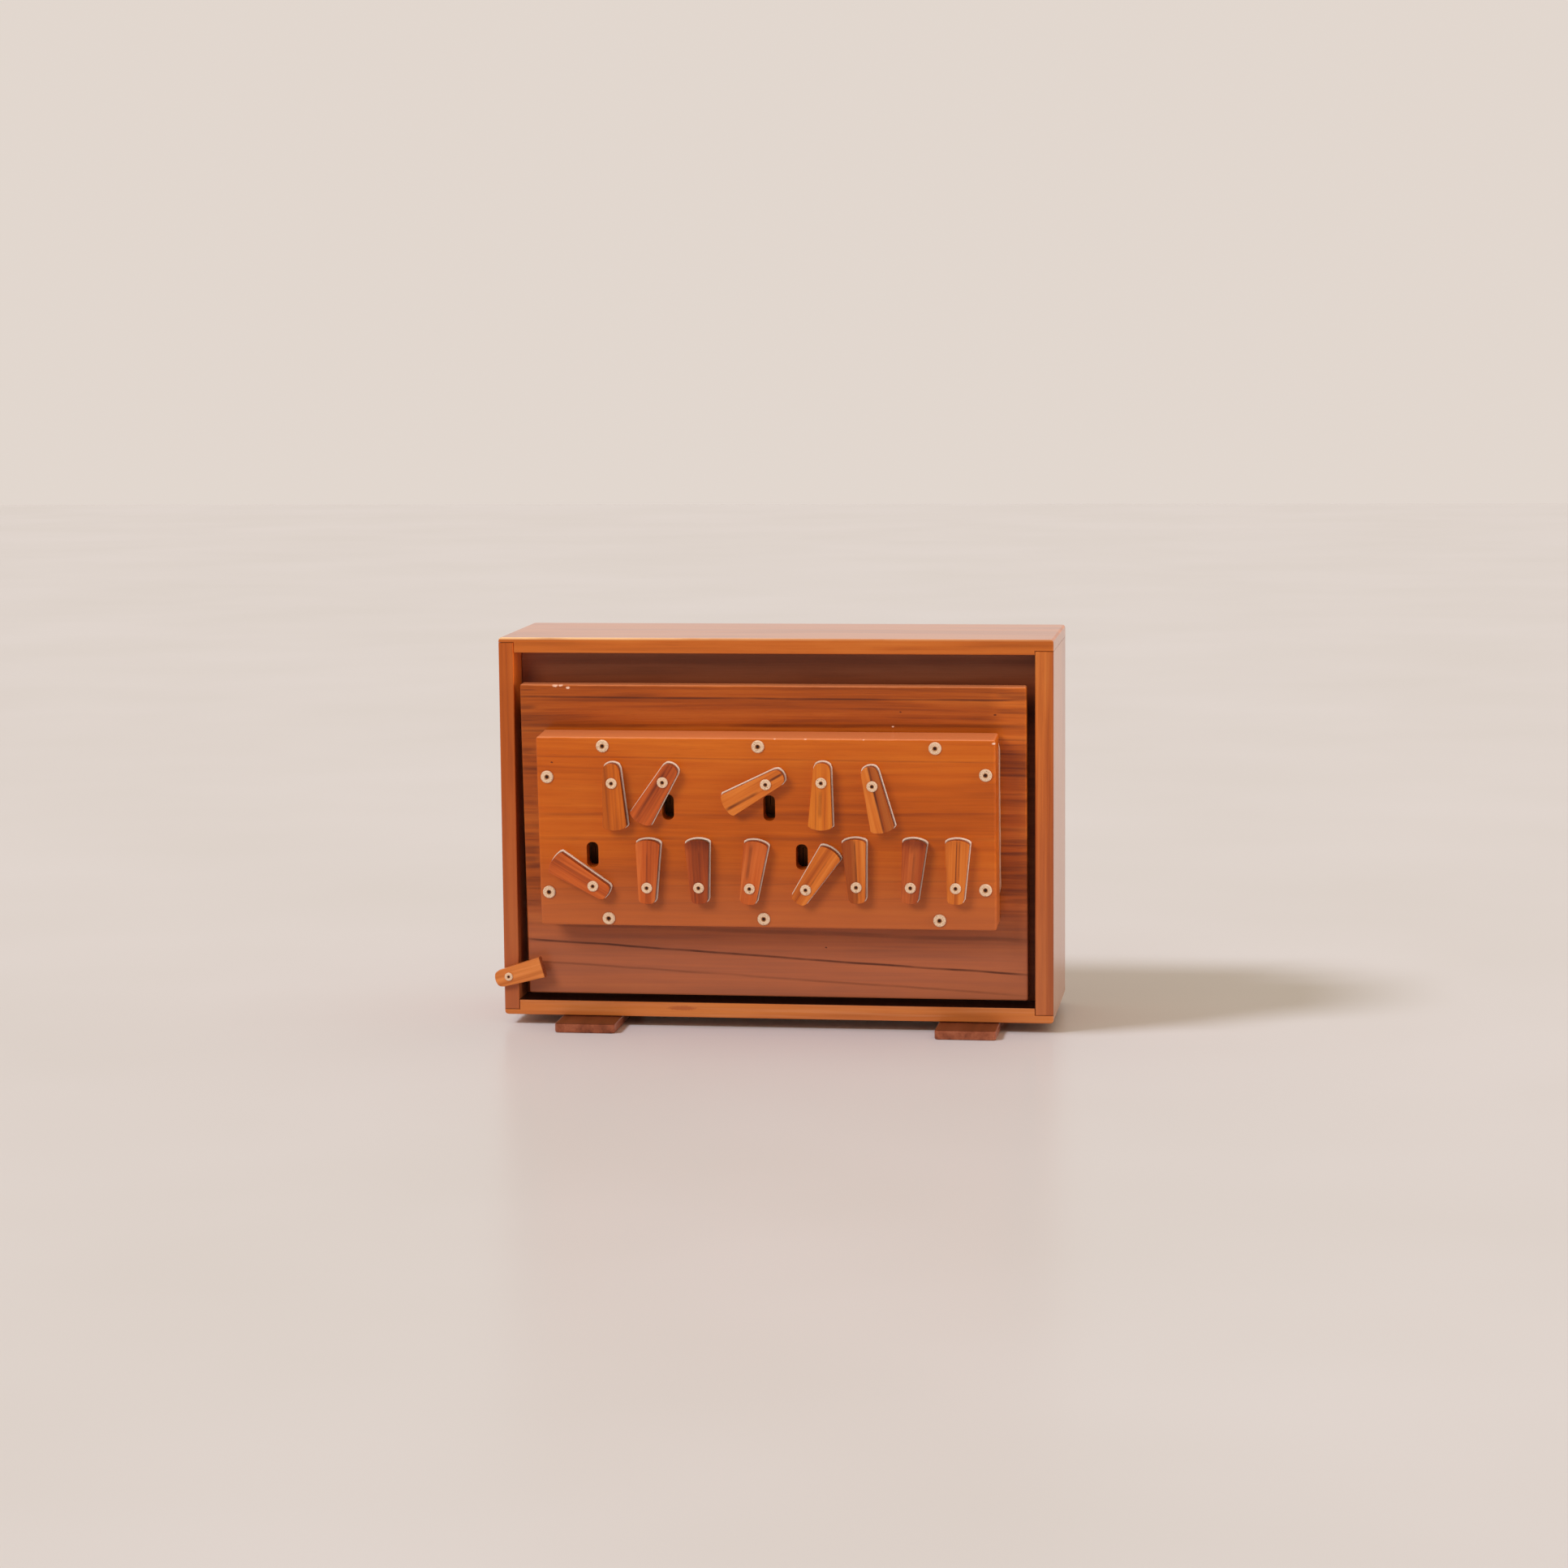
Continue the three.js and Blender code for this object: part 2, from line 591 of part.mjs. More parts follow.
piece(
  "reservoir_board",
  cut(
    board(
      roundedRectangle(panelWidth, panelHeight, PANEL_CORNER, 0, panelHeight / 2),
      -PANEL_THICKNESS,
      PANEL_THICKNESS,
      PANEL_EDGE,
    ),
    [
      ...ventTools(VENT_WIDTH_SHARE, VENT_LENGTH_SHARE, -PANEL_THICKNESS, PANEL_THICKNESS),
      ...chestScrewTools(-CHEST_SCREW_BITE - FIT_GAP, CHEST_SCREW_BITE + FIT_GAP + CUT_OVERRUN),
    ],
  ),
  panelWood,
  reservoir,
);

const gasketTools = [
  ...ventTools(VENT_WIDTH_SHARE, VENT_LENGTH_SHARE, gasketBack, GASKET_THICKNESS),
  ...chestScrewTools(gasketBack - CUT_OVERRUN, GASKET_THICKNESS + 2 * CUT_OVERRUN),
];
piece(
  "chest_gasket",
  cut(
    slab(
      roundedRectangle(
        chestWidth + GASKET_PROUD - GASKET_INSET,
        chestHeight - 2 * GASKET_INSET,
        CHEST_CORNER,
        chestX + (GASKET_PROUD + GASKET_INSET) / 2,
        chestY,
      ),
      gasketBack,
      GASKET_THICKNESS,
    ),
    gasketTools,
  ),
  paleLeather,
  reservoir,
);

const chestTools = [
  slab(
    roundedRectangle(
      reedBoardWidth + 2 * FIT_GAP,
      reedBoardHeight + 2 * FIT_GAP,
      REED_BOARD_CORNER,
      chestX,
      chestY,
    ),
    chestBack - CUT_OVERRUN,
    REED_BOARD_THICKNESS + FIT_GAP + CUT_OVERRUN,
  ),
  ...chestScrewTools(chestBack - CUT_OVERRUN, CHEST_THICKNESS + 2 * CUT_OVERRUN),
];
for (const tone of toneList) {
  chestTools.push(
    slotTool(
      toned(SLOT_WIDTH_SHARE),
      toned(SLOT_LENGTH_SHARE),
      cellFloor - CUT_OVERRUN,
      CHEST_FRONT_WALL + 2 * CUT_OVERRUN,
      tone.x,
      tone.y + tone.away * toned(SLOT_REACH_SHARE),
    ),
    slab(
      rectangle(toned(CELL_WIDTH_SHARE), toned(CELL_LENGTH_SHARE), tone.x, cellMiddle(tone)),
      reedFront,
      cellFloor - reedFront,
    ),
    peg(
      pilotRadius,
      chestFront - LEVER_SCREW_BITE - FIT_GAP,
      LEVER_SCREW_BITE + FIT_GAP + CUT_OVERRUN,
      tone.pivotX,
      tone.pivotY,
    ),
  );
}
piece(
  "tone_chest",
  cut(
    board(
      roundedRectangle(chestWidth, chestHeight, CHEST_CORNER, chestX, chestY),
      chestBack,
      CHEST_THICKNESS,
      CHEST_EDGE,
    ),
    chestTools,
  ),
  chestWood,
  reservoir,
);

// The reed board carries one brass reed for each cell: a plate over a vent, with a thin tongue that
// is fixed at its outer end.
const reedParts = [
  slab(
    roundedRectangle(reedBoardWidth, reedBoardHeight, REED_BOARD_CORNER, chestX, chestY),
    reedBack,
    REED_BOARD_THICKNESS,
  ),
];
const tongues = [];
for (const tone of toneList) {
  const middle = cellMiddle(tone);
  reedParts.push(
    slab(
      rectangle(toned(REED_PLATE_WIDTH_SHARE), toned(REED_PLATE_LENGTH_SHARE), tone.x, middle),
      reedFront - JOIN_OVERLAP,
      REED_PLATE_THICKNESS + JOIN_OVERLAP,
    ),
  );
  tongues.push(
    slab(
      rectangle(
        toned(TONGUE_WIDTH_SHARE),
        toned(REED_SLOT_LENGTH_SHARE + TONGUE_ROOT_SHARE),
        tone.x,
        middle - tone.away * toned(TONGUE_ROOT_SHARE / 2),
      ),
      reedFront + REED_PLATE_THICKNESS - JOIN_OVERLAP,
      TONGUE_THICKNESS + JOIN_OVERLAP,
    ),
  );
}
const reedVents = ventTools(
  REED_SLOT_WIDTH_SHARE,
  REED_SLOT_LENGTH_SHARE,
  reedBack,
  REED_BOARD_THICKNESS + REED_PLATE_THICKNESS,
);
piece("reed_board", join([cut(join(reedParts), reedVents), ...tongues]), innerWood, reservoir);

chestScrewPlaces.forEach(([x, y], index) => {
  const length = FIT_GAP + CHEST_THICKNESS + FIT_GAP + GASKET_THICKNESS + FIT_GAP + CHEST_SCREW_BITE;
  const screw = piece(
    "chest_screw_" + (index + 1),
    screwWithWasher(CHEST_WASHER_RADIUS, length),
    brass,
    reservoir,
  );
  screw.position.set(x, y, chestFront + FIT_GAP);
});

// A lever's outline, drawn with its pivot at zero and its free end up.
function bladeOutline(tail, crown, proud) {
  const tailHalf = toned(LEVER_TAIL_WIDTH_SHARE) / 2 + proud;
  const freeHalf = toned(LEVER_FREE_WIDTH_SHARE) / 2 + proud;
  const free = toned(LEVER_REACH_SHARE) + proud;
  const short = -toned(tail) - proud;
  const freeCrown = toned(FREE_CROWN_SHARE);
  const tailCrown = toned(crown);
  const shape = new THREE.Shape();
  shape.moveTo(-tailHalf, short + tailCrown);
  shape.quadraticCurveTo(0, short - tailCrown, tailHalf, short + tailCrown);
  shape.lineTo(freeHalf, free - freeCrown);
  shape.quadraticCurveTo(0, free + freeCrown, -freeHalf, free - freeCrown);
  return shape;
}

// The blade lies on its leather pad, and one hole through both takes the screw.
function leverGeometry(tail, crown) {
  const blade = board(bladeOutline(tail, crown, 0), PAD_THICKNESS, LEVER_BLADE, LEVER_EDGE, CROWN_STEPS);
  const pad = slab(bladeOutline(tail, crown, PAD_PROUD), 0, PAD_THICKNESS + JOIN_OVERLAP, CROWN_STEPS);
  return cut(join([blade, pad]), [
    peg(pilotRadius, -CUT_OVERRUN, PAD_THICKNESS + LEVER_BLADE + 2 * CUT_OVERRUN, 0, 0),
  ]);
}

const leverBase = chestFront + FIT_GAP;
const leverTop = leverBase + PAD_THICKNESS + LEVER_BLADE;
const upperLever = leverGeometry(UPPER_LEVER_TAIL_SHARE, UPPER_TAIL_CROWN_SHARE);
const lowerLever = leverGeometry(LOWER_LEVER_TAIL_SHARE, LOWER_TAIL_CROWN_SHARE);
const leverScrewLength = leverTop + FIT_GAP - chestFront + LEVER_SCREW_BITE;
for (const tone of toneList) {
  const lever = piece(
    "tone_lever_" + tone.name,
    tone.away < 0 ? upperLever : lowerLever,
    leverWood,
    reservoir,
  );
  lever.position.set(tone.pivotX, tone.pivotY, leverBase);
  lever.rotation.z = tone.turn;
  const screw = piece(
    "lever_screw_" + tone.name,
    screwWithWasher(LEVER_WASHER_RADIUS, leverScrewLength),
    brass,
    reservoir,
  );
  screw.position.set(tone.pivotX, tone.pivotY, leverTop + FIT_GAP);
}

// A turn button: tapered to a rounded end behind its pivot and square in front, drawn pointing along +X.
function latchGeometry(width) {
  const half = width / 2;
  const tailHalf = half * LATCH_TAIL_WIDTH_SHARE;
  const shoulder = -LATCH_TAIL * LATCH_SHOULDER_SHARE;
  const shape = new THREE.Shape();
  shape.moveTo(LATCH_REACH, -half);
  shape.lineTo(LATCH_REACH, half);
  shape.lineTo(shoulder, tailHalf);
  shape.quadraticCurveTo(-LATCH_TAIL, tailHalf, -LATCH_TAIL, 0);
  shape.quadraticCurveTo(-LATCH_TAIL, -tailHalf, shoulder, -tailHalf);
  return cut(board(shape, 0, LATCH_THICKNESS, LATCH_EDGE, CROWN_STEPS), [
    peg(pilotRadius, -CUT_OVERRUN, LATCH_THICKNESS + 2 * CUT_OVERRUN, 0, 0),
  ]);
}

const latchScrewLength = LATCH_THICKNESS + 2 * FIT_GAP + LATCH_SCREW_BITE;
const latch = piece("latch_button", latchGeometry(LATCH_WIDTH), leverWood, casing);
latch.position.set(latchX, LATCH_PIVOT_HEIGHT, CASE_DEPTH + FIT_GAP);
latch.rotation.z = radians(LATCH_REST_DEG);
const latchScrew = piece(
  "latch_screw",
  screwWithWasher(LATCH_WASHER_RADIUS, latchScrewLength),
  brass,
  casing,
);
latchScrew.position.set(latchX, LATCH_PIVOT_HEIGHT, CASE_DEPTH + LATCH_THICKNESS + 2 * FIT_GAP);

// The rear button lies along the top board, clear of the pump board, until it is turned down.
const rearLatch = piece("rear_latch_button", latchGeometry(REAR_LATCH_WIDTH), leverWood, casing);
rearLatch.position.set(0, rearLatchY, -FIT_GAP);
rearLatch.rotation.y = Math.PI;
const rearLatchScrew = piece(
  "rear_latch_screw",
  screwWithWasher(LATCH_WASHER_RADIUS, latchScrewLength),
  brass,
  casing,
);
rearLatchScrew.position.set(0, rearLatchY, -LATCH_THICKNESS - 2 * FIT_GAP);
rearLatchScrew.rotation.y = Math.PI;

// The feet: flat bars under the case, each on one countersunk screw at its middle.
function footGeometry() {
  const bar = board(
    roundedRectangle(FOOT_WIDTH, FOOT_LENGTH, FOOT_CORNER),
    0,
    FOOT_THICKNESS,
    FOOT_EDGE,
  );
  return cut(bar, [
    peg(pilotRadius, -CUT_OVERRUN, FOOT_THICKNESS + 2 * CUT_OVERRUN, 0, 0),
    peg(
      FOOT_SCREW_HEAD_RADIUS + FIT_GAP,
      -CUT_OVERRUN,
      CUT_OVERRUN + FOOT_SCREW_RECESS + FOOT_SCREW_HEAD + FIT_GAP,
      0,
      0,
      SCREW_SIDES,
    ),
  ]);
}

function footScrewGeometry() {
  const top = FOOT_THICKNESS - FOOT_SCREW_RECESS + FIT_GAP + FOOT_SCREW_BITE;
  const profile = [
    [0, 0],
    [FOOT_SCREW_HEAD_RADIUS, 0],
    [FOOT_SCREW_HEAD_RADIUS, FOOT_SCREW_HEAD / 2],
    [SCREW_SHANK_RADIUS, FOOT_SCREW_HEAD],
    [SCREW_SHANK_RADIUS, top - SCREW_TIP],
    [0, top],
  ].map(([x, y]) => new THREE.Vector2(x, y));
  const geometry = new THREE.LatheGeometry(profile, SCREW_SIDES);
  geometry.rotateX(QUARTER_TURN);
  return geometry;
}

const footY = CASE_DEPTH / 2 - footZ;
for (const [x, word] of [
  [leftFootX, "left"],
  [rightFootX, "right"],
]) {
  piece("foot_" + word, footGeometry(), footWood, part).position.set(x, footY, 0);
  const screw = piece("foot_screw_" + word, footScrewGeometry(), steel, part);
  screw.position.set(x, footY, FOOT_SCREW_RECESS);
}

// The pump board leans back on its foot, which stays just inside the back of the case. Inside this
// group Y runs up the board and Z runs forward from its back face, as in the case.
const pumpFoot = openingLow + PUMP_FOOT_GAP;
const pumpWidth = openingWidth - 2 * PUMP_SIDE_GAP;
const pumpHeight = openingHeight - PUMP_FOOT_GAP - PUMP_TOP_GAP;
const pumpHoleHeight = pumpHeight * PUMP_HOLE_SHARE;
const pump = new THREE.Group();
pump.position.set(openingMiddle, pumpFoot, PUMP_THICKNESS / 2);
pump.rotation.x = -radians(PUMP_OPEN_DEG);
casing.add(pump);
piece(
  "pump_board",
  cut(
    board(
      roundedRectangle(pumpWidth, pumpHeight, PUMP_CORNER, 0, pumpHeight / 2),
      -PUMP_THICKNESS / 2,
      PUMP_THICKNESS,
      PUMP_EDGE,
    ),
    valveHoles(-PUMP_THICKNESS / 2, PUMP_THICKNESS, 0, pumpHoleHeight),
  ),
  panelWood,
  pump,
);
piece("intake_valve_flap", slab(flapOutline, 0, VALVE_FLAP_THICKNESS), paleLeather, pump).position.set(
  0,
  pumpHoleHeight,
  PUMP_THICKNESS / 2 + FIT_GAP,
);

// A bellows ring from one frame to another. Each frame gives a point for a place in the ring, and
// the rings between are drawn in by turns, so that the wall zigzags. The wall has an inner face.
function bellows(width, height, folds, foldDepth, placeStart, placeEnd) {
  const stations = 2 * folds + 1;
  const outline = (inset) => {
    const points = [];
    const radius = BELLOWS_CORNER;
    const corners = [
      [1, 1, 0],
      [-1, 1, 1],
      [-1, -1, 2],
      [1, -1, 3],
    ];
    for (const [sideX, sideY, quarter] of corners) {
      for (let step = 0; step <= BELLOWS_CORNER_STEPS; step += 1) {
        const angle = (quarter + step / BELLOWS_CORNER_STEPS) * QUARTER_TURN;
        points.push([
          sideX * (width / 2 - inset - radius) + radius * Math.cos(angle),
          height / 2 + sideY * (height / 2 - inset - radius) + radius * Math.sin(angle),
        ]);
      }
    }
    return points;
  };
  const count = outline(0).length;
  const positions = [];
  const start = new THREE.Vector3();
  const end = new THREE.Vector3();
  for (const wall of [0, BELLOWS_WALL]) {
    for (let station = 0; station < stations; station += 1) {
      const along = station / (stations - 1);
      const inset = (station % 2 === 1 ? foldDepth : 0) + wall;
      for (const [x, y] of outline(inset)) {
        placeStart(x, y, start);
        placeEnd(x, y, end);
        start.lerp(end, along);
        positions.push(start.x, start.y, start.z);
      }
    }
  }
  const index = [];
  const at = (layer, station, place) => (layer * stations + station) * count + (place % count);
  const quad = (a, b, c, d) => index.push(a, b, c, a, c, d);
  const last = stations - 1;
  for (let place = 0; place < count; place += 1) {
    const next = place + 1;
    for (let station = 0; station < last; station += 1) {
      const above = station + 1;
      quad(at(0, station, place), at(0, station, next), at(0, above, next), at(0, above, place));
      quad(at(1, above, place), at(1, above, next), at(1, station, next), at(1, station, place));
    }
    quad(at(1, 0, place), at(1, 0, next), at(0, 0, next), at(0, 0, place));
    quad(at(0, last, place), at(0, last, next), at(1, last, next), at(1, last, place));
  }
  const geometry = new THREE.BufferGeometry();
  geometry.setAttribute("position", new THREE.Float32BufferAttribute(positions, 3));
  geometry.setIndex(index);
  geometry.computeVertexNormals();
  return geometry;
}

casing.updateMatrixWorld(true);
reservoir.updateMatrix();
pump.updateMatrix();

// The reservoir's ring runs from the centre board forward to the back of the leaning board.
const reservoirRingWidth = panelWidth - 2 * RESERVOIR_RING_INSET;
const reservoirRingHeight = panelHeight - 2 * RESERVOIR_RING_INSET;
piece(
  "reservoir_bellows",
  bellows(
    reservoirRingWidth,
    reservoirRingHeight,
    RESERVOIR_FOLD_COUNT,
    RESERVOIR_FOLD,
    (x, y, target) =>
      target.set(
        openingMiddle + x,
        openingLow + PANEL_FOOT_GAP + RESERVOIR_RING_INSET + y,
        centreFront + FIT_GAP,
      ),
    (x, y, target) =>
      target.set(x, RESERVOIR_RING_INSET + y, -PANEL_THICKNESS - FIT_GAP).applyMatrix4(reservoir.matrix),
  ),
  darkLeather,
  casing,
);

// The pump's ring runs from the front of the pump board forward to the back of the centre board.
piece(
  "feeder_bellows",
  bellows(
    pumpWidth - 2 * FEEDER_RING_INSET,
    pumpHeight - 2 * FEEDER_RING_INSET,
    FEEDER_FOLD_COUNT,
    FEEDER_FOLD,
    (x, y, target) =>
      target.set(x, FEEDER_RING_INSET + y, PUMP_THICKNESS / 2 + FIT_GAP).applyMatrix4(pump.matrix),
    (x, y, target) => target.set(openingMiddle + x, pumpFoot + FEEDER_RING_INSET + y, centreBack - FIT_GAP),
  ),
  darkLeather,
  casing,
);

// A wire along a curve, as one closed tube.
function wire(curve, radius, steps, sides) {
  const section = new THREE.Shape();
  for (let side = 0; side < sides; side += 1) {
    const angle = (side / sides) * 2 * Math.PI;
    const x = radius * Math.cos(angle);
    const y = radius * Math.sin(angle);
    if (side === 0) {
      section.moveTo(x, y);
    } else {
      section.lineTo(x, y);
    }
  }
  return new THREE.ExtrudeGeometry(section, { steps, extrudePath: curve, bevelEnabled: false });
}

// The coil spring that draws the reservoir board towards the centre board. Its end turns run flat
// against the two boards.
class CoilCurve extends THREE.Curve {
  constructor(length) {
    super();
    this.length = length;
  }

  getPoint(share, target = new THREE.Vector3()) {
    const angle = share * COIL_TURNS * 2 * Math.PI;
    return target.set(COIL_RADIUS * Math.cos(angle), COIL_RADIUS * Math.sin(angle), share * this.length);
  }
}

const coilSide = panelWidth * COIL_SIDE_SHARE;
const coilHeight = panelHeight * COIL_HEIGHT_SHARE;
const coilAnchor = new THREE.Vector3(coilSide, coilHeight, -PANEL_THICKNESS);
coilAnchor.applyMatrix4(reservoir.matrix);
const coilClear = 2 * (COIL_WIRE_RADIUS + FIT_GAP);
const coilSlope = COIL_RADIUS * Math.tan(radians(PANEL_LEAN_DEG));
const coilLength = coilAnchor.z - centreFront - coilClear - coilSlope;
const coil = piece(
  "reservoir_spring",
  wire(new CoilCurve(coilLength), COIL_WIRE_RADIUS, COIL_TURNS * COIL_STEPS, COIL_SIDES),
  steel,
  casing,
);
coil.position.set(coilAnchor.x, coilAnchor.y, centreFront + coilClear / 2);

// The pump's spring: one wire bent to a V, its two feet against the two boards.
const closedPumpFront = PUMP_THICKNESS;
const veeApexZ = centreBack - (centreBack - closedPumpFront) * VEE_APEX_DEPTH_SHARE;
const veeOffset = VEE_WIRE_RADIUS + FIT_GAP;
const rearFootHeight = pumpHeight * VEE_REAR_SHARE;
const veeFrontY = pumpFoot + pumpHeight * VEE_FRONT_SHARE;
const veeApexY = pumpFoot + pumpHeight * VEE_APEX_SHARE;
const rearOffset = PUMP_THICKNESS / 2 + veeOffset;
const rearFoot = new THREE.Vector3(0, rearFootHeight, rearOffset).applyMatrix4(pump.matrix);
const rearTip = new THREE.Vector3(0, rearFootHeight + VEE_FOOT, rearOffset).applyMatrix4(pump.matrix);
const veePath = new THREE.CatmullRomCurve3(
  [
    new THREE.Vector3(openingMiddle, veeFrontY + VEE_FOOT, centreBack - veeOffset),
    new THREE.Vector3(openingMiddle, veeFrontY, centreBack - veeOffset),
    new THREE.Vector3(openingMiddle, veeApexY + VEE_BEND, veeApexZ + VEE_BEND),
    new THREE.Vector3(openingMiddle, veeApexY, veeApexZ),
    new THREE.Vector3(openingMiddle, veeApexY + VEE_BEND, veeApexZ - VEE_BEND),
    new THREE.Vector3(openingMiddle, rearFoot.y, rearFoot.z),
    new THREE.Vector3(openingMiddle, rearTip.y, rearTip.z),
  ],
  false,
  "centripetal",
);
piece("feeder_spring", wire(veePath, VEE_WIRE_RADIUS, VEE_STEPS, VEE_SIDES), steel, casing);

// The origin goes to the middle of the whole part's footprint, on the surface that it stands on.
part.updateMatrixWorld(true);
const bounds = new THREE.Box3().setFromObject(part, true);
const middle = bounds.getCenter(new THREE.Vector3());
part.position.set(-middle.x, -middle.y, -bounds.min.z);
part.updateMatrixWorld(true);

export default part;
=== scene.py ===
# The looks of a shruti box: varnished orange-brown wood, cream cup washers, leather seals and bellows.
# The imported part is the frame. Levers, washers, buttons, leather and springs get finer pieces here,
# and every carried-over board gets a grain of its own. Lengths are in metres, in the part's frame.

import json
import math

import bmesh
import bpy
import numpy as np
from mathutils import Matrix, Vector, noise


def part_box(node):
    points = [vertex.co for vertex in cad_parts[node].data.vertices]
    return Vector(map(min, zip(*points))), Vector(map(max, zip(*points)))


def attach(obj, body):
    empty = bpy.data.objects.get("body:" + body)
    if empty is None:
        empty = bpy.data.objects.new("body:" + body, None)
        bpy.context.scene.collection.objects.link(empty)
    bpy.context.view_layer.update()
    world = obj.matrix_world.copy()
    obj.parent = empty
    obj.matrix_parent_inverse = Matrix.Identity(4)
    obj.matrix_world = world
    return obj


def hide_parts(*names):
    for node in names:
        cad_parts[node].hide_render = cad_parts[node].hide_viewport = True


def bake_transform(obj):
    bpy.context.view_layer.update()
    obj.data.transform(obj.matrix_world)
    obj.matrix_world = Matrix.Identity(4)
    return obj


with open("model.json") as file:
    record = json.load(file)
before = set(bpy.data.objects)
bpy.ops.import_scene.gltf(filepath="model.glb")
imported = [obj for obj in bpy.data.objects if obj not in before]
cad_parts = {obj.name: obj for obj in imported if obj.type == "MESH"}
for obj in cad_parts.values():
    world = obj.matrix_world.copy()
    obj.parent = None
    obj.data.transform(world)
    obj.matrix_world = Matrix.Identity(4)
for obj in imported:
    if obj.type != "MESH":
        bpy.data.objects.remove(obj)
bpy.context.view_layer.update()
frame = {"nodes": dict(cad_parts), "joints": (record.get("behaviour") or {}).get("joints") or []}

MM = 0.001
X_AXIS = Vector((1, 0, 0))
Z_AXIS = Vector((0, 0, 1))
FRONT = Vector((0, -1, 0))
JOINTS = {joint["name"]: joint for joint in frame["joints"]}

# How the two moving boards stand at rest.
LEAN = math.radians(4)
OPEN = math.radians(12)
BOARD_UP = Vector((0, -math.sin(LEAN), math.cos(LEAN)))
BOARD_OUT = Vector((0, -math.cos(LEAN), -math.sin(LEAN)))
PUMP_UP = Vector((0, math.sin(OPEN), math.cos(OPEN)))
PUMP_OUT = Vector((0, math.cos(OPEN), -math.sin(OPEN)))

# The photograph's camera.
IMAGE_SIZE = 1932
FOCAL_PIXELS = 4723
SENSOR = 36
CAMERA_PLACE = Vector((0.3543, -2.4820, 0.4766))
CAMERA_YAW = math.radians(-8.106)
CAMERA_PITCH = math.radians(7.359)
CAMERA_ROLL = math.radians(0.509)


def linear(red, green, blue):
    """A colour given by its three display values from 0 to 255, as the shader takes it."""
    channels = []
    for value in (red, green, blue):
        share = value / 255
        channels.append(share / 12.92 if share <= 0.04045 else ((share + 0.055) / 1.055) ** 2.4)
    return (*channels, 1)


def in_scene(name, data):
    """A new object in the scene."""
    made = bpy.data.objects.new(name, data)
    bpy.context.scene.collection.objects.link(made)
    return made


# Materials


class Nodes:
    """A tree of nodes. A value given for a socket is set there, and another node's socket is linked."""

    def __init__(self, tree):
        self.tree = tree

    def add(self, kind, inputs=None, **settings):
        node = self.tree.nodes.new(kind)
        for setting, value in settings.items():
            setattr(node, setting, value)
        for socket, value in (inputs or {}).items():
            self.put(node.inputs[socket], value)
        return node

    def put(self, socket, value):
        if isinstance(value, bpy.types.NodeSocket):
            self.tree.links.new(value, socket)
        else:
            socket.default_value = value

    def math(self, operation, *values):
        return self.add("ShaderNodeMath", dict(enumerate(values)), operation=operation).outputs[0]

    def along(self, direction):
        """How far a point lies along a direction, in the piece's own space."""
        place = self.add("ShaderNodeTexCoord").outputs["Object"]
        return self.add(
            "ShaderNodeVectorMath", {0: place, 1: tuple(direction)}, operation="DOT_PRODUCT"
        ).outputs["Value"]

    def times(self, first, second):
        return self.math("MULTIPLY", first, second)

    def scaled(self, value, factor, added):
        """A value times a factor, with something added."""
        return self.math("MULTIPLY_ADD", value, factor, added)

    def minus(self, first, second):
        return self.math("SUBTRACT", first, second)

    def vector(self, x, y, z):
        return self.add("ShaderNodeCombineXYZ", {0: x, 1: y, 2: z}).outputs[0]

    def noise(self, vector, scale=1.0, detail=2.0, roughness=0.5):
        inputs = {"Vector": vector, "Scale": scale, "Detail": detail, "Roughness": roughness}
        return self.add("ShaderNodeTexNoise", inputs).outputs[0]

    def blotches(self, run, side, lengthwise, crosswise, seed, detail, roughness=0.5):
        """Noise with its own number of cells in a metre along the grain and across it."""
        place = self.vector(self.times(run, lengthwise), self.times(side, crosswise), seed)
        return self.noise(place, 1.0, detail, roughness)

    def spread(self, value, low, high, to_low=0.0, to_high=1.0):
        """A value taken smoothly from one range to another."""
        node = self.add("ShaderNodeMapRange", interpolation_type="SMOOTHSTEP")
        for socket, given in zip(node.inputs[:5], (value, low, high, to_low, to_high)):
            self.put(socket, given)
        return node.outputs[0]

    def ramp(self, value, stops):
        node = self.add("ShaderNodeValToRGB", {0: value})
        elements = node.color_ramp.elements
        while len(elements) < len(stops):
            elements.new(0.5)
        for element, (place, colour) in zip(elements, stops):
            element.position = place
            element.color = colour
        return node.outputs[0]

    def mix(self, share, first, second, blend="MIX"):
        node = self.add("ShaderNodeMix", data_type="RGBA", blend_type=blend)
        self.put(node.inputs[0], share)
        self.put(node.inputs[6], first)
        self.put(node.inputs[7], second)
        return node.outputs[2]


class Graph(Nodes):
    """One material and its nodes."""

    def __init__(self, name):
        self.material = bpy.data.materials.new(name)
        self.material.use_nodes = True
        super().__init__(self.material.node_tree)
        self.tree.nodes.clear()
        self.shader = self.add("ShaderNodeBsdfPrincipled")
        output = self.add("ShaderNodeOutputMaterial")
        self.put(output.inputs["Surface"], self.shader.outputs[0])

    def shade(self, values):
        """Sets the surface's own sockets."""
        for socket, value in values.items():
            self.put(self.shader.inputs[socket], value)

    def bump(self, height, strength, distance):
        normal = self.add(
            "ShaderNodeBump", {"Height": height, "Strength": strength, "Distance": distance}
        ).outputs[0]
        self.shade({"Normal": normal})


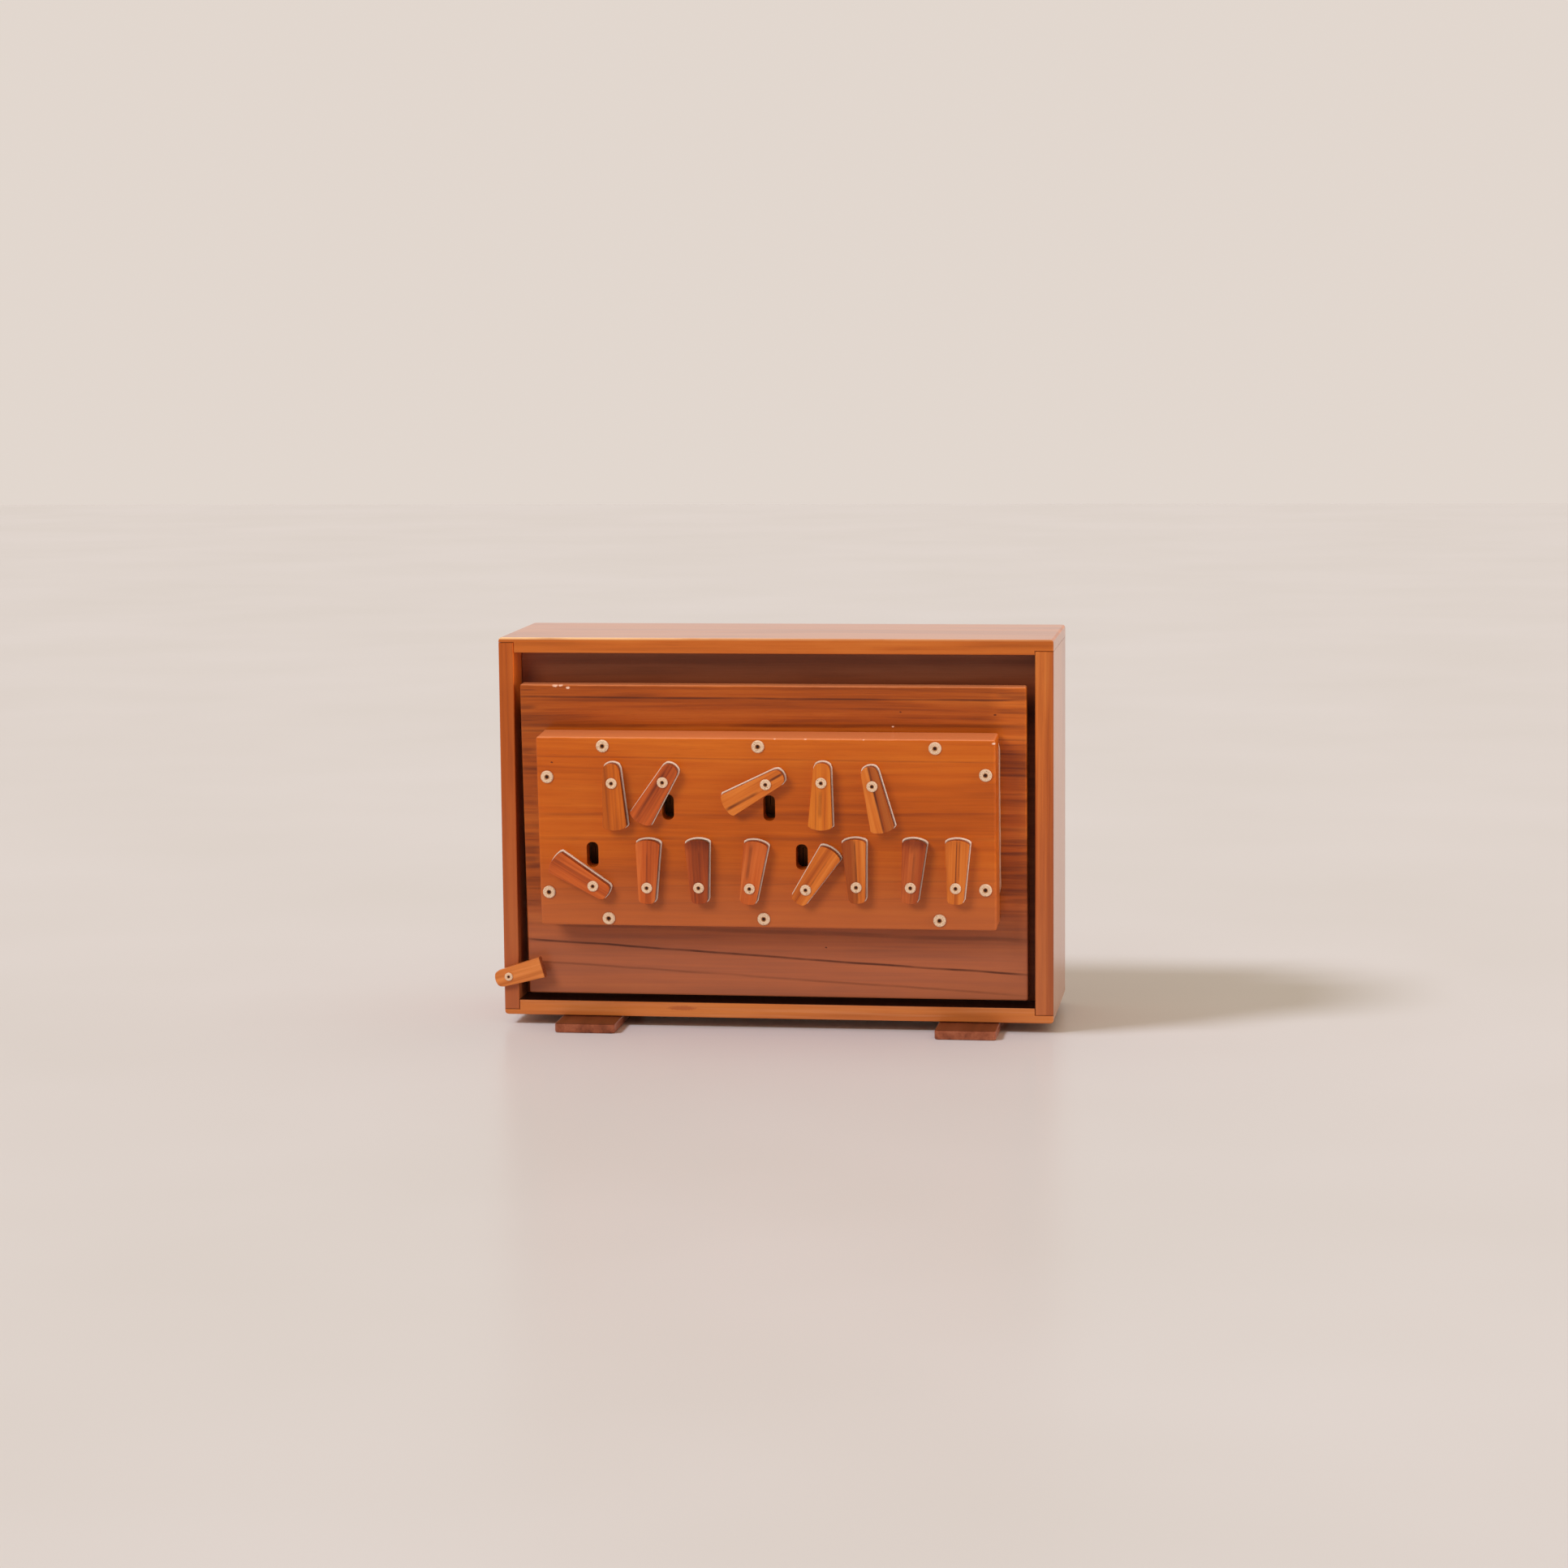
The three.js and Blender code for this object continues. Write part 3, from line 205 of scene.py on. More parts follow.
# Wood tones: dark streak, middle, pale.
RAIL_TONES = [linear(150, 70, 16), linear(197, 103, 34), linear(217, 128, 52)]
LEFT_TONES = [linear(142, 61, 16), linear(183, 89, 27), linear(201, 109, 43)]
RIGHT_TONES = [linear(153, 70, 26), linear(204, 111, 45), linear(224, 136, 62)]
CHEST_TONES = [linear(154, 64, 6), linear(199, 93, 13), linear(217, 114, 26)]
PANEL_TONES = [linear(106, 42, 6), linear(171, 81, 17), linear(196, 105, 33)]
FOOT_TONES = [linear(92, 42, 24), linear(152, 82, 54), linear(182, 110, 78)]
INNER_TONES = [linear(100, 42, 20), linear(148, 66, 32), linear(170, 84, 46)]

LENGTHWISE = 7.0  # noise cells in a metre along the grain
CROSSWISE = 330.0  # and across it
BROAD_SHARE = 0.09  # of the crosswise number, for the slow change of tone
PORE_CROSSWISE = 2600.0
PORE_LENGTHWISE = 75.0
SWAY_LENGTHWISE = 2.2  # the slow waver of the grain, in cells too
SWAY_CROSSWISE = 9.0
SWAY = 14 * MM
RING_RATE = 520.0  # year rings, in turns of a sine over a metre
RING_SWAY = 50 * MM
FIGURE_MIDDLE = 0.585  # the grain's mean value before it is given its contrast
STREAK_WEIGHT, BROAD_WEIGHT, RING_WEIGHT = 0.55, 0.62, 0.035  # in the grain's figure
PORE_STRENGTH = 0.3
VARNISH_IOR = 1.3


def wood(name, tones, grain, across, seed=0.0, contrast=1.0, coat=0.5, marks=None, gloss=0.34):
    """Varnished wood with its grain along one direction. Marks may change its colour with lines, chips
    and knots, and with painted light and shade.
    """
    g = Graph(name)
    run = g.along(grain)
    side = g.along(across)
    depth = g.along(Vector(grain).cross(Vector(across)))
    slow = g.vector(g.scaled(run, SWAY_LENGTHWISE, seed), g.times(side, SWAY_CROSSWISE), depth)
    bent = g.scaled(g.minus(g.noise(slow), 0.5), SWAY, side)

    def layer(lengthwise, crosswise, detail, rough):
        along = g.scaled(run, lengthwise, seed)
        place = g.vector(along, g.times(bent, crosswise), g.times(depth, crosswise))
        return g.noise(place, 1.0, detail, rough)

    broad = layer(LENGTHWISE * 0.6, CROSSWISE * BROAD_SHARE, 3.0, 0.55)
    streak = layer(LENGTHWISE, CROSSWISE, 5.0, 0.68)
    pores = layer(PORE_LENGTHWISE, PORE_CROSSWISE, 2.0, 0.5)
    rings = g.math("SINE", g.times(g.scaled(broad, RING_SWAY, bent), RING_RATE))
    figure = g.scaled(streak, STREAK_WEIGHT, g.times(broad, BROAD_WEIGHT))
    figure = g.scaled(rings, RING_WEIGHT, figure)
    figure = g.scaled(g.minus(figure, FIGURE_MIDDLE), contrast, 0.5)
    colour = g.ramp(figure, [(0.2, tones[0]), (0.5, tones[1]), (0.78, tones[2])])
    pore = g.spread(pores, 0.6, 0.74)
    colour = g.mix(g.times(pore, PORE_STRENGTH), colour, tones[0])
    if marks:
        colour = marks(g, colour, run, side)
    g.shade(
        {
            "Base Color": colour,
            "Roughness": g.scaled(streak, 0.16, gloss - 0.08),
            "IOR": VARNISH_IOR,
            "Coat Weight": coat,
            "Coat IOR": VARNISH_IOR,
            "Coat Roughness": 0.12,
        }
    )
    g.bump(g.scaled(pore, -0.6, g.times(streak, 0.5)), 0.22, 0.12 * MM)
    return g.material


def dark_line(g, colour, run, side, ends, half_width, strength, tone, wobble, seed, fade=18 * MM):
    """A dark grain line between two ends, each given as how far along the grain and across it."""
    start, end = ends
    slope = (end[1] - start[1]) / (end[0] - start[0])
    middle = g.scaled(run, slope, start[1] - slope * start[0])
    wander = g.noise(g.vector(g.scaled(run, 11.0, seed), 0.0, seed))
    middle = g.scaled(g.minus(wander, 0.5), wobble * 2, middle)
    away = g.math("ABSOLUTE", g.minus(side, middle))
    share = g.spread(away, half_width * 0.25, half_width, 1.0, 0.0)
    begun = g.spread(run, start[0] - fade, start[0] + fade)
    inside = g.times(begun, g.spread(run, end[0] - fade, end[0] + fade, 1.0, 0.0))
    patchy = g.spread(g.noise(g.vector(g.times(run, 24.0), seed, 0.0), 1.0, 3.0), 0.3, 0.6, 0.45, 1.0)
    return g.mix(g.times(g.times(share, inside), g.times(patchy, strength)), colour, tone)


def grain_lines(g, colour, run, side, lines, tone, left, right, low, seeds):
    """The lines of a board. Each has its height over the board's foot at the left and at the right, its
    half width, its strength and its waviness."""
    for index, (left_up, right_up, half_width, strength, wave) in enumerate(lines):
        ends = (left, low + left_up * MM), (right, low + right_up * MM)
        seed = seeds[0] + seeds[1] * index
        colour = dark_line(g, colour, run, side, ends, half_width * MM, strength, tone, wave * MM, seed)
    return colour


def tint(g, colour, share, factors):
    """Shifts a colour by factors for red, green and blue, where the share is one."""
    return g.mix(share, colour, g.mix(1.0, colour, (*factors, 1), "MULTIPLY"))


SPECK_CELLS = 900.0  # noise cells in a metre that make a mark's outline ragged


def speck(g, colour, run, side, place, size, tone, strength):
    """A small mark at a place, given as how far along the grain and across it."""
    along = g.math("DIVIDE", g.minus(run, place[0]), size[0])
    across = g.math("DIVIDE", g.minus(side, place[1]), size[1])
    away = g.math("SQRT", g.math("ADD", g.times(along, along), g.times(across, across)))
    ragged = g.blotches(run, side, SPECK_CELLS, SPECK_CELLS, 0.0, 2.0)
    away = g.scaled(g.minus(ragged, 0.5), 0.9, away)
    return g.mix(g.times(g.spread(away, 0.55, 1.05, 1.0, 0.0), strength), colour, tone)


def front_specks(g, colour, run, side, specks, left, top, front):
    """The chips and knots of a board's front, none of which reaches back over its top."""
    near = g.spread(g.along(BOARD_OUT), front - 1.6 * MM, front - 0.8 * MM, 0.0, 0.9)
    for along, down, size, tone in specks:
        place = (left + along * MM, top - down * MM)
        colour = speck(g, colour, run, side, place, (size * MM, size * 0.6 * MM), tone, near)
    return colour


def leather(name, dark, pale, gloss=0.75, pebble=0.9 * MM, sheen=0.25):
    """Leather: pebbled, a little uneven in tone."""
    g = Graph(name)
    place = g.add("ShaderNodeTexCoord").outputs["Object"]
    cells = g.add(
        "ShaderNodeTexVoronoi", {"Vector": place, "Scale": 1 / pebble}, feature="DISTANCE_TO_EDGE"
    ).outputs[0]
    cloud = g.noise(place, 60.0, 4.0, 0.6)
    colour = g.ramp(cloud, [(0.3, dark), (0.72, pale)])
    colour = g.mix(g.spread(cells, 0.0, 0.12, 0.45, 0.0), colour, dark)
    rough = g.scaled(cloud, 0.2, gloss - 0.1)
    g.shade({"Base Color": colour, "Roughness": rough, "Sheen Weight": sheen})
    g.bump(g.scaled(g.spread(cells, 0.0, 0.2), 0.7, g.times(cloud, 0.6)), 0.45, 0.25 * MM)
    return g.material


def metal(name, dark, pale, gloss, metallic, cell=900.0):
    """Plated or bare metal with a faint cast in its tone."""
    g = Graph(name)
    place = g.add("ShaderNodeTexCoord").outputs["Object"]
    cloud = g.noise(place, cell, 3.0, 0.6)
    colour = g.ramp(cloud, [(0.3, dark), (0.48, pale)])
    rough = g.scaled(cloud, 0.25, gloss - 0.12)
    g.shade({"Base Color": colour, "Roughness": rough, "Metallic": metallic})
    g.bump(cloud, 0.2, 0.1 * MM)
    return g.material


# Measuring the frame


def points_of(node):
    """The node's corners as an array."""
    mesh = frame["nodes"][node].data
    places = np.zeros(len(mesh.vertices) * 3)
    mesh.vertices.foreach_get("co", places)
    return places.reshape(-1, 3)


def heading(node, pivot, up):
    """The direction in which a turned piece points from its pivot: towards the middle of its surface."""
    middle = Vector((0, 0, 0))
    area = 0
    for polygon in frame["nodes"][node].data.polygons:
        middle += polygon.center * polygon.area
        area += polygon.area
    offset = middle / area - pivot
    return (X_AXIS * offset.dot(X_AXIS) + up * offset.dot(up)).normalized()


def reach(node, direction):
    """The least and greatest distance of a node along a direction."""
    far = points_of(node) @ np.array(direction)
    return float(far.min()), float(far.max())


# Building pieces

EDGE_ANGLE = math.radians(35)  # sharper edges than this are eased


def new_piece(name, vertices, faces, material, body, smooth=True):
    """A piece in the scene, with its faces turned outward. A list of materials gives it several."""
    mesh = bpy.data.meshes.new(name)
    mesh.from_pydata([tuple(v) for v in vertices], [], faces)
    mesh.validate()
    for each in material if isinstance(material, list) else [material]:
        mesh.materials.append(each)
    b = bmesh.new()
    b.from_mesh(mesh)
    bmesh.ops.recalc_face_normals(b, faces=b.faces)
    b.to_mesh(mesh)
    b.free()
    for polygon in mesh.polygons:
        polygon.use_smooth = smooth
    piece = in_scene(name, mesh)
    if body:
        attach(piece, body)
    return piece


def build_plate(name, node, outline, heights, axes, material, body, edge, segments=3, smooth=True):
    """A flat piece with eased edges: an outline between two heights, in place of its CAD node.

    The axes are its origin and its directions across, up and out.
    """
    count = len(outline)
    origin, right, up, out = axes
    corners = [origin + right * x + up * y + out * z for z in heights for x, y in outline]
    faces = [list(range(count))[::-1], list(range(count, 2 * count))]
    faces += [[i, (i + 1) % count, count + (i + 1) % count, count + i] for i in range(count)]
    piece = new_piece(name, corners, faces, material, body, smooth)
    bevel = piece.modifiers.new("eased", "BEVEL")
    bevel.width = edge
    bevel.segments = segments
    bevel.limit_method = "ANGLE"
    bevel.angle_limit = EDGE_ANGLE
    bevel.harden_normals = True
    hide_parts(node)


def bands(rings, count):
    """The faces between rings of points, each ring with the same count of them."""
    faces = []
    for low in range(0, (rings - 1) * count, count):
        high = low + count
        for side in range(count):
            after = (side + 1) % count
            faces.append([low + side, low + after, high + after, high + side])
    return faces


def arc(centre, radius, start, end, steps):
    """Points on an arc, with both ends."""
    angles = [start + (end - start) * step / steps for step in range(steps + 1)]
    return [(centre[0] + radius * math.cos(a), centre[1] + radius * math.sin(a)) for a in angles]


def crown(half, tip, rise, corner, steps=12):
    """A crowned end from right to left: an arc that rises at its middle, with rounded corners."""
    radius = (half * half + rise * rise) / (2 * rise)
    points = []
    for step in range(steps + 1):
        x = half - 2 * half * step / steps
        y = tip - radius + math.sqrt(radius * radius - x * x)
        edge = half - abs(x)
        if edge < corner:
            y -= corner - math.sqrt(max(corner * corner - (corner - edge) ** 2, 0))
        points.append((x, y))
    return points


# Levers

PAD_THICKNESS = 2.4 * MM
PAD_PROUD = 0.4 * MM  # how far the pad shows past the blade
BLADE_EDGE = 0.45 * MM
PAD_SPREAD = 0.1 * MM  # the soft pad bulges this much past its solid
PAD_EDGE = 0.3 * MM
PAD_GAP = 0.02 * MM  # between the pad and its blade
FREE_CROWN = 2.1 * MM
FREE_CORNER = 0.5 * MM
TAIL_CROWNS = {"upper": 2.6 * MM, "lower": 1.3 * MM}
TAIL_CORNER = 1.6 * MM


def lever_frame(name):
    """A lever's pivot, its direction towards the free end, and its sizes, read off its CAD node."""
    joint = JOINTS["tone_%s_swing" % name]
    pivot = Vector(joint["pos_m"])
    offsets = points_of("tone_lever_" + name) - np.array(pivot)
    direction = heading("tone_lever_" + name, pivot, BOARD_UP)
    right = direction.cross(BOARD_OUT).normalized()
    run = offsets @ np.array(direction)
    side = np.abs(offsets @ np.array(right))
    out = offsets @ np.array(BOARD_OUT)
    tail_ends = run < run.min() + 4 * MM
    return {
        "origin": pivot + BOARD_OUT * float(out.min()),
        "direction": direction,
        "right": right,
        "free": float(run.max()),
        "tail": -float(run.min()),
        "free_half": float(side.max()),
        "tail_half": float(side[tail_ends].max()),
        "height": float(out.max() - out.min()),
        "tail_crown": TAIL_CROWNS[name.split("_")[0]],
    }


def lever_outline(lever, inset):
    """A lever's outline from its pivot, drawn in by the inset."""
    free = crown(lever["free_half"] - inset, lever["free"] - inset, FREE_CROWN, FREE_CORNER)
    tail = crown(lever["tail_half"] - inset, lever["tail"] - inset, lever["tail_crown"], TAIL_CORNER)
    return free + [(-x, -y) for x, y in tail]


# How each lever's wood differs: its tones, how much darker its right half is (less than zero for the
# left half), how dark its free end is, and its stripes. A stripe has its place across from the middle,
# its half width, its strength, and both ends from the pivot. Lengths are in millimetres.
AMBER = [linear(150, 64, 6), linear(202, 99, 18), linear(224, 127, 36)]
ORANGE = [linear(156, 64, 12), linear(212, 111, 34), linear(234, 140, 58)]
RED = [linear(138, 52, 16), linear(198, 90, 30), linear(222, 118, 52)]
BROWN = [linear(112, 42, 12), linear(172, 74, 26), linear(202, 102, 44)]
LEVER_LOOKS = {
    "upper_1": (AMBER, 0.0, 0.0, [(3.6, 1.0, 0.3, -12, 30)]),
    "upper_2": (RED, 0.0, 0.0, [(2.2, 1.5, 0.55, -6, 30), (-3.4, 0.9, 0.3, -12, 30)]),
    "upper_3": (ORANGE, 0.0, 0.0, [(-2.0, 1.4, 0.85, 8, 30), (0.8, 1.2, 0.85, -13, -3)]),
    "upper_4": (AMBER, 0.0, 0.0, [(0.4, 1.8, 0.4, 6, 22), (-2.8, 0.6, 0.3, 6, 30), (3.0, 0.6, 0.3, 6, 30)]),
    "upper_5": (ORANGE, -0.75, 0.0, [(-0.4, 1.1, 0.9, -13, 30)]),
    "lower_1": (RED, 0.0, 0.2, [(1.8, 1.2, 0.3, 0, 30)]),
    "lower_2": (RED, 0.15, 0.1, [(-0.4, 0.8, 0.4, -10, 22)]),
    "lower_3": (BROWN, 0.25, 0.6, [(-2.4, 0.9, 0.4, -10, 30), (1.2, 0.8, 0.5, 4, 24)]),
    "lower_4": (RED, -0.15, 0.1, [(-2.8, 1.6, 0.5, 6, 28)]),
    "lower_5": (ORANGE, 0.0, 0.0, [(1.4, 0.5, 0.6, 4, 22)]),
    "lower_6": (ORANGE, -0.85, 0.0, [(0.2, 0.9, 0.9, -10, 30)]),
    "lower_7": (BROWN, 0.2, 0.8, [(0.6, 1.2, 0.35, -10, 22)]),
    "lower_8": (ORANGE, 0.0, 0.1, [(-0.4, 0.5, 0.7, 2, 30), (1.5, 0.45, 0.6, 6, 30)]),
}
LEVERS = list(LEVER_LOOKS)
LEVER_SEED = 3.7  # from one lever's grain to the next
STRIPE = linear(92, 34, 14)
STRIPE_WOBBLE = 0.8 * MM
STRIPE_FADE = 3 * MM
SPLIT_EDGE = 0.5 * MM
SIDE_SHADE = (0.42, 0.28, 0.24)  # a blade's sides in its face's colour


def lever_wood(name, lever):
    """A lever's own wood, with its grain along the blade."""
    tones, split, smudge, stripes = LEVER_LOOKS[name]
    centre = lever["origin"].dot(lever["right"])
    start = lever["origin"].dot(lever["direction"])
    face = lever["origin"].dot(BOARD_OUT) + lever["height"]

    def marks(g, colour, run, side):
        if split:
            low, high = (0.0, split) if split > 0 else (-split, 0.0)
            share = g.spread(side, centre - SPLIT_EDGE, centre + SPLIT_EDGE, low, high)
            colour = tint(g, colour, share, (0.44, 0.28, 0.24))
        if smudge:
            end = start + lever["free"]
            near = g.scaled(g.minus(g.blotches(run, side, 90.0, 300.0, 0.4, 3.0), 0.5), 9 * MM, run)
            dark = g.spread(near, end - 10 * MM, end - 1 * MM, 0.0, smudge)
            colour = tint(g, colour, dark, (0.42, 0.28, 0.25))
        for index, (place, half_width, strength, first, last) in enumerate(stripes):
            middle = centre + place * MM
            ends = (start + first * MM, middle), (start + last * MM, middle)
            colour = dark_line(
                g, colour, run, side, ends, half_width * MM, strength, STRIPE,
                wobble=STRIPE_WOBBLE, seed=place + index, fade=STRIPE_FADE,
            )
        # painted shade: the blade's sides are darkened
        sides = g.spread(g.along(BOARD_OUT), face - 0.6 * MM, face - 0.2 * MM, 1.0, 0.0)
        return tint(g, colour, sides, SIDE_SHADE)

    seed = LEVER_SEED * (1 + LEVERS.index(name))
    axes = lever["direction"], lever["right"]
    return wood("wood_lever_" + name, tones, *axes, seed, contrast=1.7, marks=marks)


def build_lever(name, pad_material):
    """A lever in place of its CAD node: a wooden blade on a leather pad."""
    lever = lever_frame(name)
    body = "tone_" + name
    node = "tone_lever_" + name
    axes = (lever["origin"], lever["right"], lever["direction"], BOARD_OUT)
    outline = lever_outline(lever, PAD_PROUD)
    heights = PAD_THICKNESS, lever["height"]
    timber = lever_wood(name, lever)
    build_plate("lever_blade_" + name, node, outline, heights, axes, timber, body, BLADE_EDGE)
    outline = lever_outline(lever, -PAD_SPREAD)
    heights = 0, PAD_THICKNESS - PAD_GAP
    build_plate(
        "lever_pad_" + name, node, outline, heights, axes, pad_material, body, PAD_EDGE, 2
    )


# Cup washers and their screws

WASHER_SIDES = 48
WASHER_NOTCHES = 12
WASHER_NOTCH = 0.05  # how deep a notch is, as a share of the washer's radius there
NOTCH_FROM, NOTCH_TO = 0.66, 0.99  # the rings that have notches
# Each ring of the washer: radius and height, both as shares of the washer's radius, and what it is made of.
CUP, HEAD, RECESS = 0, 1, 2
WASHER_SHARES = [
    (1.00, 0.00, CUP),
    (1.00, 0.12, CUP),
    (0.95, 0.22, CUP),
    (0.87, 0.29, CUP),
    (0.78, 0.31, CUP),
    (0.70, 0.29, CUP),
    (0.64, 0.265, CUP),
    (0.58, 0.28, CUP),
    (0.40, 0.29, CUP),
    (0.31, 0.26, HEAD),
    (0.25, 0.18, HEAD),
    (0.20, 0.10, RECESS),
    (0.16, 0.03, RECESS),
    (0.00, 0.01, RECESS),
]


def build_washer(node, body, out, materials):
    """A cup washer with its screw head, in place of a CAD screw and its washer."""
    corners = points_of(node)
    height = corners @ np.array(out)
    rim = corners[height > height.max() - 0.02 * MM]
    centre = Vector(rim.mean(axis=0))
    offsets = corners - np.array(centre)
    radial = np.linalg.norm(offsets - np.outer(offsets @ np.array(out), np.array(out)), axis=1)
    radius = float(radial.max())
    seat = centre + out * (float(height[radial > radius * 0.98].min()) - centre.dot(out))
    up = out.cross(X_AXIS).normalized()
    vertices = []
    for across, rise, _ in WASHER_SHARES:
        for side in range(WASHER_SIDES):
            angle = 2 * math.pi * side / WASHER_SIDES
            notched = WASHER_NOTCH * max(0, math.cos(angle * WASHER_NOTCHES))
            notch = 1 - notched if NOTCH_FROM < across < NOTCH_TO else 1
            far = radius * across * notch
            lift = radius * rise * notch
            vertices.append(seat + X_AXIS * far * math.cos(angle) + up * far * math.sin(angle) + out * lift)
    faces = bands(len(WASHER_SHARES), WASHER_SIDES) + [list(range(WASHER_SIDES))[::-1]]
    kinds = [kind for _, _, kind in WASHER_SHARES[1:] for _ in range(WASHER_SIDES)] + [CUP]
    piece = new_piece("washer_" + node, vertices, faces, materials, body)
    piece.data.polygons.foreach_set("material_index", kinds)
    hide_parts(node)


# Turn buttons

LATCH_CORNER = 0.9 * MM
LATCH_TAIL_SHARE = 0.82  # the width of its tail end in that of its free end
LATCH_TAIL_CROWN = 2.0 * MM
LATCH_TAIL_CORNER = 2.2 * MM
LATCH_EDGE = 0.9 * MM
LATCH_TONES = [linear(166, 78, 24), linear(222, 130, 62), linear(240, 160, 92)]


def build_button(name, node, body, joint, out):
    """A turn button: round-cornered behind its pivot and square in front."""
    pivot = Vector(JOINTS[joint]["pos_m"])
    offsets = points_of(node) - np.array(pivot)
    direction = heading(node, pivot, Z_AXIS)
    right = direction.cross(out).normalized()
    run = offsets @ np.array(direction)
    half = float(np.abs(offsets @ np.array(right)).max())
    rise = offsets @ np.array(out)
    front = float(run.max())
    corner = LATCH_CORNER
    outline = arc((half - corner, front - corner), corner, 0, math.pi / 2, 4)
    outline += arc((-half + corner, front - corner), corner, math.pi / 2, math.pi, 4)
    tail = crown(half * LATCH_TAIL_SHARE, -float(run.min()), LATCH_TAIL_CROWN, LATCH_TAIL_CORNER, 14)
    outline += [(-x, -y) for x, y in tail]
    heights = 0, float(rise.max() - rise.min())
    axes = pivot + out * float(rise.min()), right, direction, out
    end = pivot.dot(direction) + front

    def marks(g, colour, run, side):
        return tint(g, colour, g.spread(run, end - 1.1 * MM, end - 0.5 * MM), (0.36, 0.2, 0.16))

    material = wood("wood_" + name, LATCH_TONES, direction, right, 8.3 + len(name), 1.5, marks=marks)
    build_plate(name, node, outline, heights, axes, material, body, LATCH_EDGE)


# Leather sheets

SHEET_EDGE = 0.3 * MM
SHEET_CORNER = 2 * MM
SHEET_STEP = 4 * MM
RIPPLE_LENGTH = 9 * MM
RIPPLE_MIDDLE = 0.4  # the noise at which the edge is where the CAD's is


def build_sheet(name, node, body, up, out, material, ripple, tuck=None):
    """A leather sheet with the size and place of its CAD node, with eased and slightly uneven edges.

    Tuck, where it is given, says how far its right edge is drawn in at a height.
    """
    corner = SHEET_CORNER
    low_x, high_x = reach(node, X_AXIS)
    low_y, high_y = reach(node, up)
    outline = []
    sides = [
        ((low_x + corner, low_y), (high_x - corner, low_y), (0, -1)),
        ((high_x, low_y + corner), (high_x, high_y - corner), (1, 0)),
        ((high_x - corner, high_y), (low_x + corner, high_y), (0, 1)),
        ((low_x, high_y - corner), (low_x, low_y + corner), (-1, 0)),
    ]
    for start, end, outward in sides:
        count = max(2, round(math.dist(start, end) / SHEET_STEP))
        for index in range(count + 1):
            share = index / count
            x = start[0] + (end[0] - start[0]) * share
            y = start[1] + (end[1] - start[1]) * share
            shift = ripple * (noise.noise(Vector((x, y, 0)) / RIPPLE_LENGTH) - RIPPLE_MIDDLE)
            if tuck and x > high_x - 2 * corner:
                x -= tuck(y)
            outline.append((x + outward[0] * shift, y + outward[1] * shift))
    axes = Vector((0, 0, 0)), X_AXIS, up, out
    heights = reach(node, out)
    build_plate(
        name, node, outline, heights, axes, material, body, SHEET_EDGE, 2, smooth=False
    )


# Bellows

CREASE_STEPS = 4  # points from one fold line to the next
SHARPNESS = 0.7  # of a fold's straight course, and the rest is rounded
WALL = 1.5 * MM
RING_CORNER = 10 * MM
RING_CORNER_STEPS = 6
RING_STEP = 12 * MM
BOARD_GAP = 0.3 * MM  # between the leather and each board


def ring_outline(width, height, inset):
    """A rounded rectangle from its lower middle, the same number of points for every inset."""
    radius = RING_CORNER
    half = width / 2 - inset - radius
    low = inset + radius
    high = height - inset - radius
    points = []
    corners = [(half, high), (-half, high), (-half, low), (half, low)]
    for quarter, centre in enumerate(corners):
        turn = quarter * math.pi / 2
        points += arc(centre, radius, turn, turn + math.pi / 2, RING_CORNER_STEPS)
        after = corners[(quarter + 1) % 4]
        count = max(2, round((width, height)[quarter % 2] / RING_STEP))
        facing = turn + math.pi / 2
        start = (centre[0] + radius * math.cos(facing), centre[1] + radius * math.sin(facing))
        end = (after[0] + radius * math.cos(facing), after[1] + radius * math.sin(facing))
        for index in range(1, count):
            share = index / count
            points.append((start[0] + (end[0] - start[0]) * share, start[1] + (end[1] - start[1]) * share))
    return points


def build_bellows(name, node, board, up, face_y, away, inset, folds, depth, dent=None):
    """A folded leather wall from the centre board to a moving board, which lies away from it.

    The wall stands in from the board's edge by its inset, and its folds reach in by their depth. It
    returns the line from the one board to the other.
    """
    low, high = reach(board, up)
    left, right = reach(board, X_AXIS)
    middle = (left + right) / 2
    board_face = reach(board, away)[0] - BOARD_GAP
    fixed_y = face_y + math.copysign(BOARD_GAP, away.y)
    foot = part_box(node)[0].z
    width = right - left - 2 * inset
    height = high - low - 2 * inset

    def on_board(x, y):
        return X_AXIS * (middle + x) + up * (low + inset + y) + away * board_face

    stations = 2 * folds * CREASE_STEPS
    vertices = []
    for station in range(stations + 1):
        phase = station / CREASE_STEPS % 2
        zigzag = phase if phase <= 1 else 2 - phase
        eased = 0.5 - 0.5 * math.cos(math.pi * zigzag)
        ring = ring_outline(width, height, depth * (SHARPNESS * zigzag + (1 - SHARPNESS) * eased))
        for x, y in ring:
            point = Vector((middle + x, fixed_y, foot + y)).lerp(on_board(x, y), station / stations)
            vertices.append(dent(point) if dent else point)
    faces = bands(stations + 1, len(ring))
    piece = new_piece(name, vertices, faces, dark_leather, None)
    wall = piece.modifiers.new("wall", "SOLIDIFY")
    wall.thickness = WALL
    wall.offset = -1
    # the wall is put into the mesh itself
    graph = bpy.context.evaluated_depsgraph_get()
    thick = bpy.data.meshes.new_from_object(piece.evaluated_get(graph))
    piece.modifiers.clear()
    piece.data = thick
    line = Vector((0, face_y, 0)), Vector((0, on_board(0, height).y, 0))
    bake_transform(piece)
    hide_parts(node)
    return line


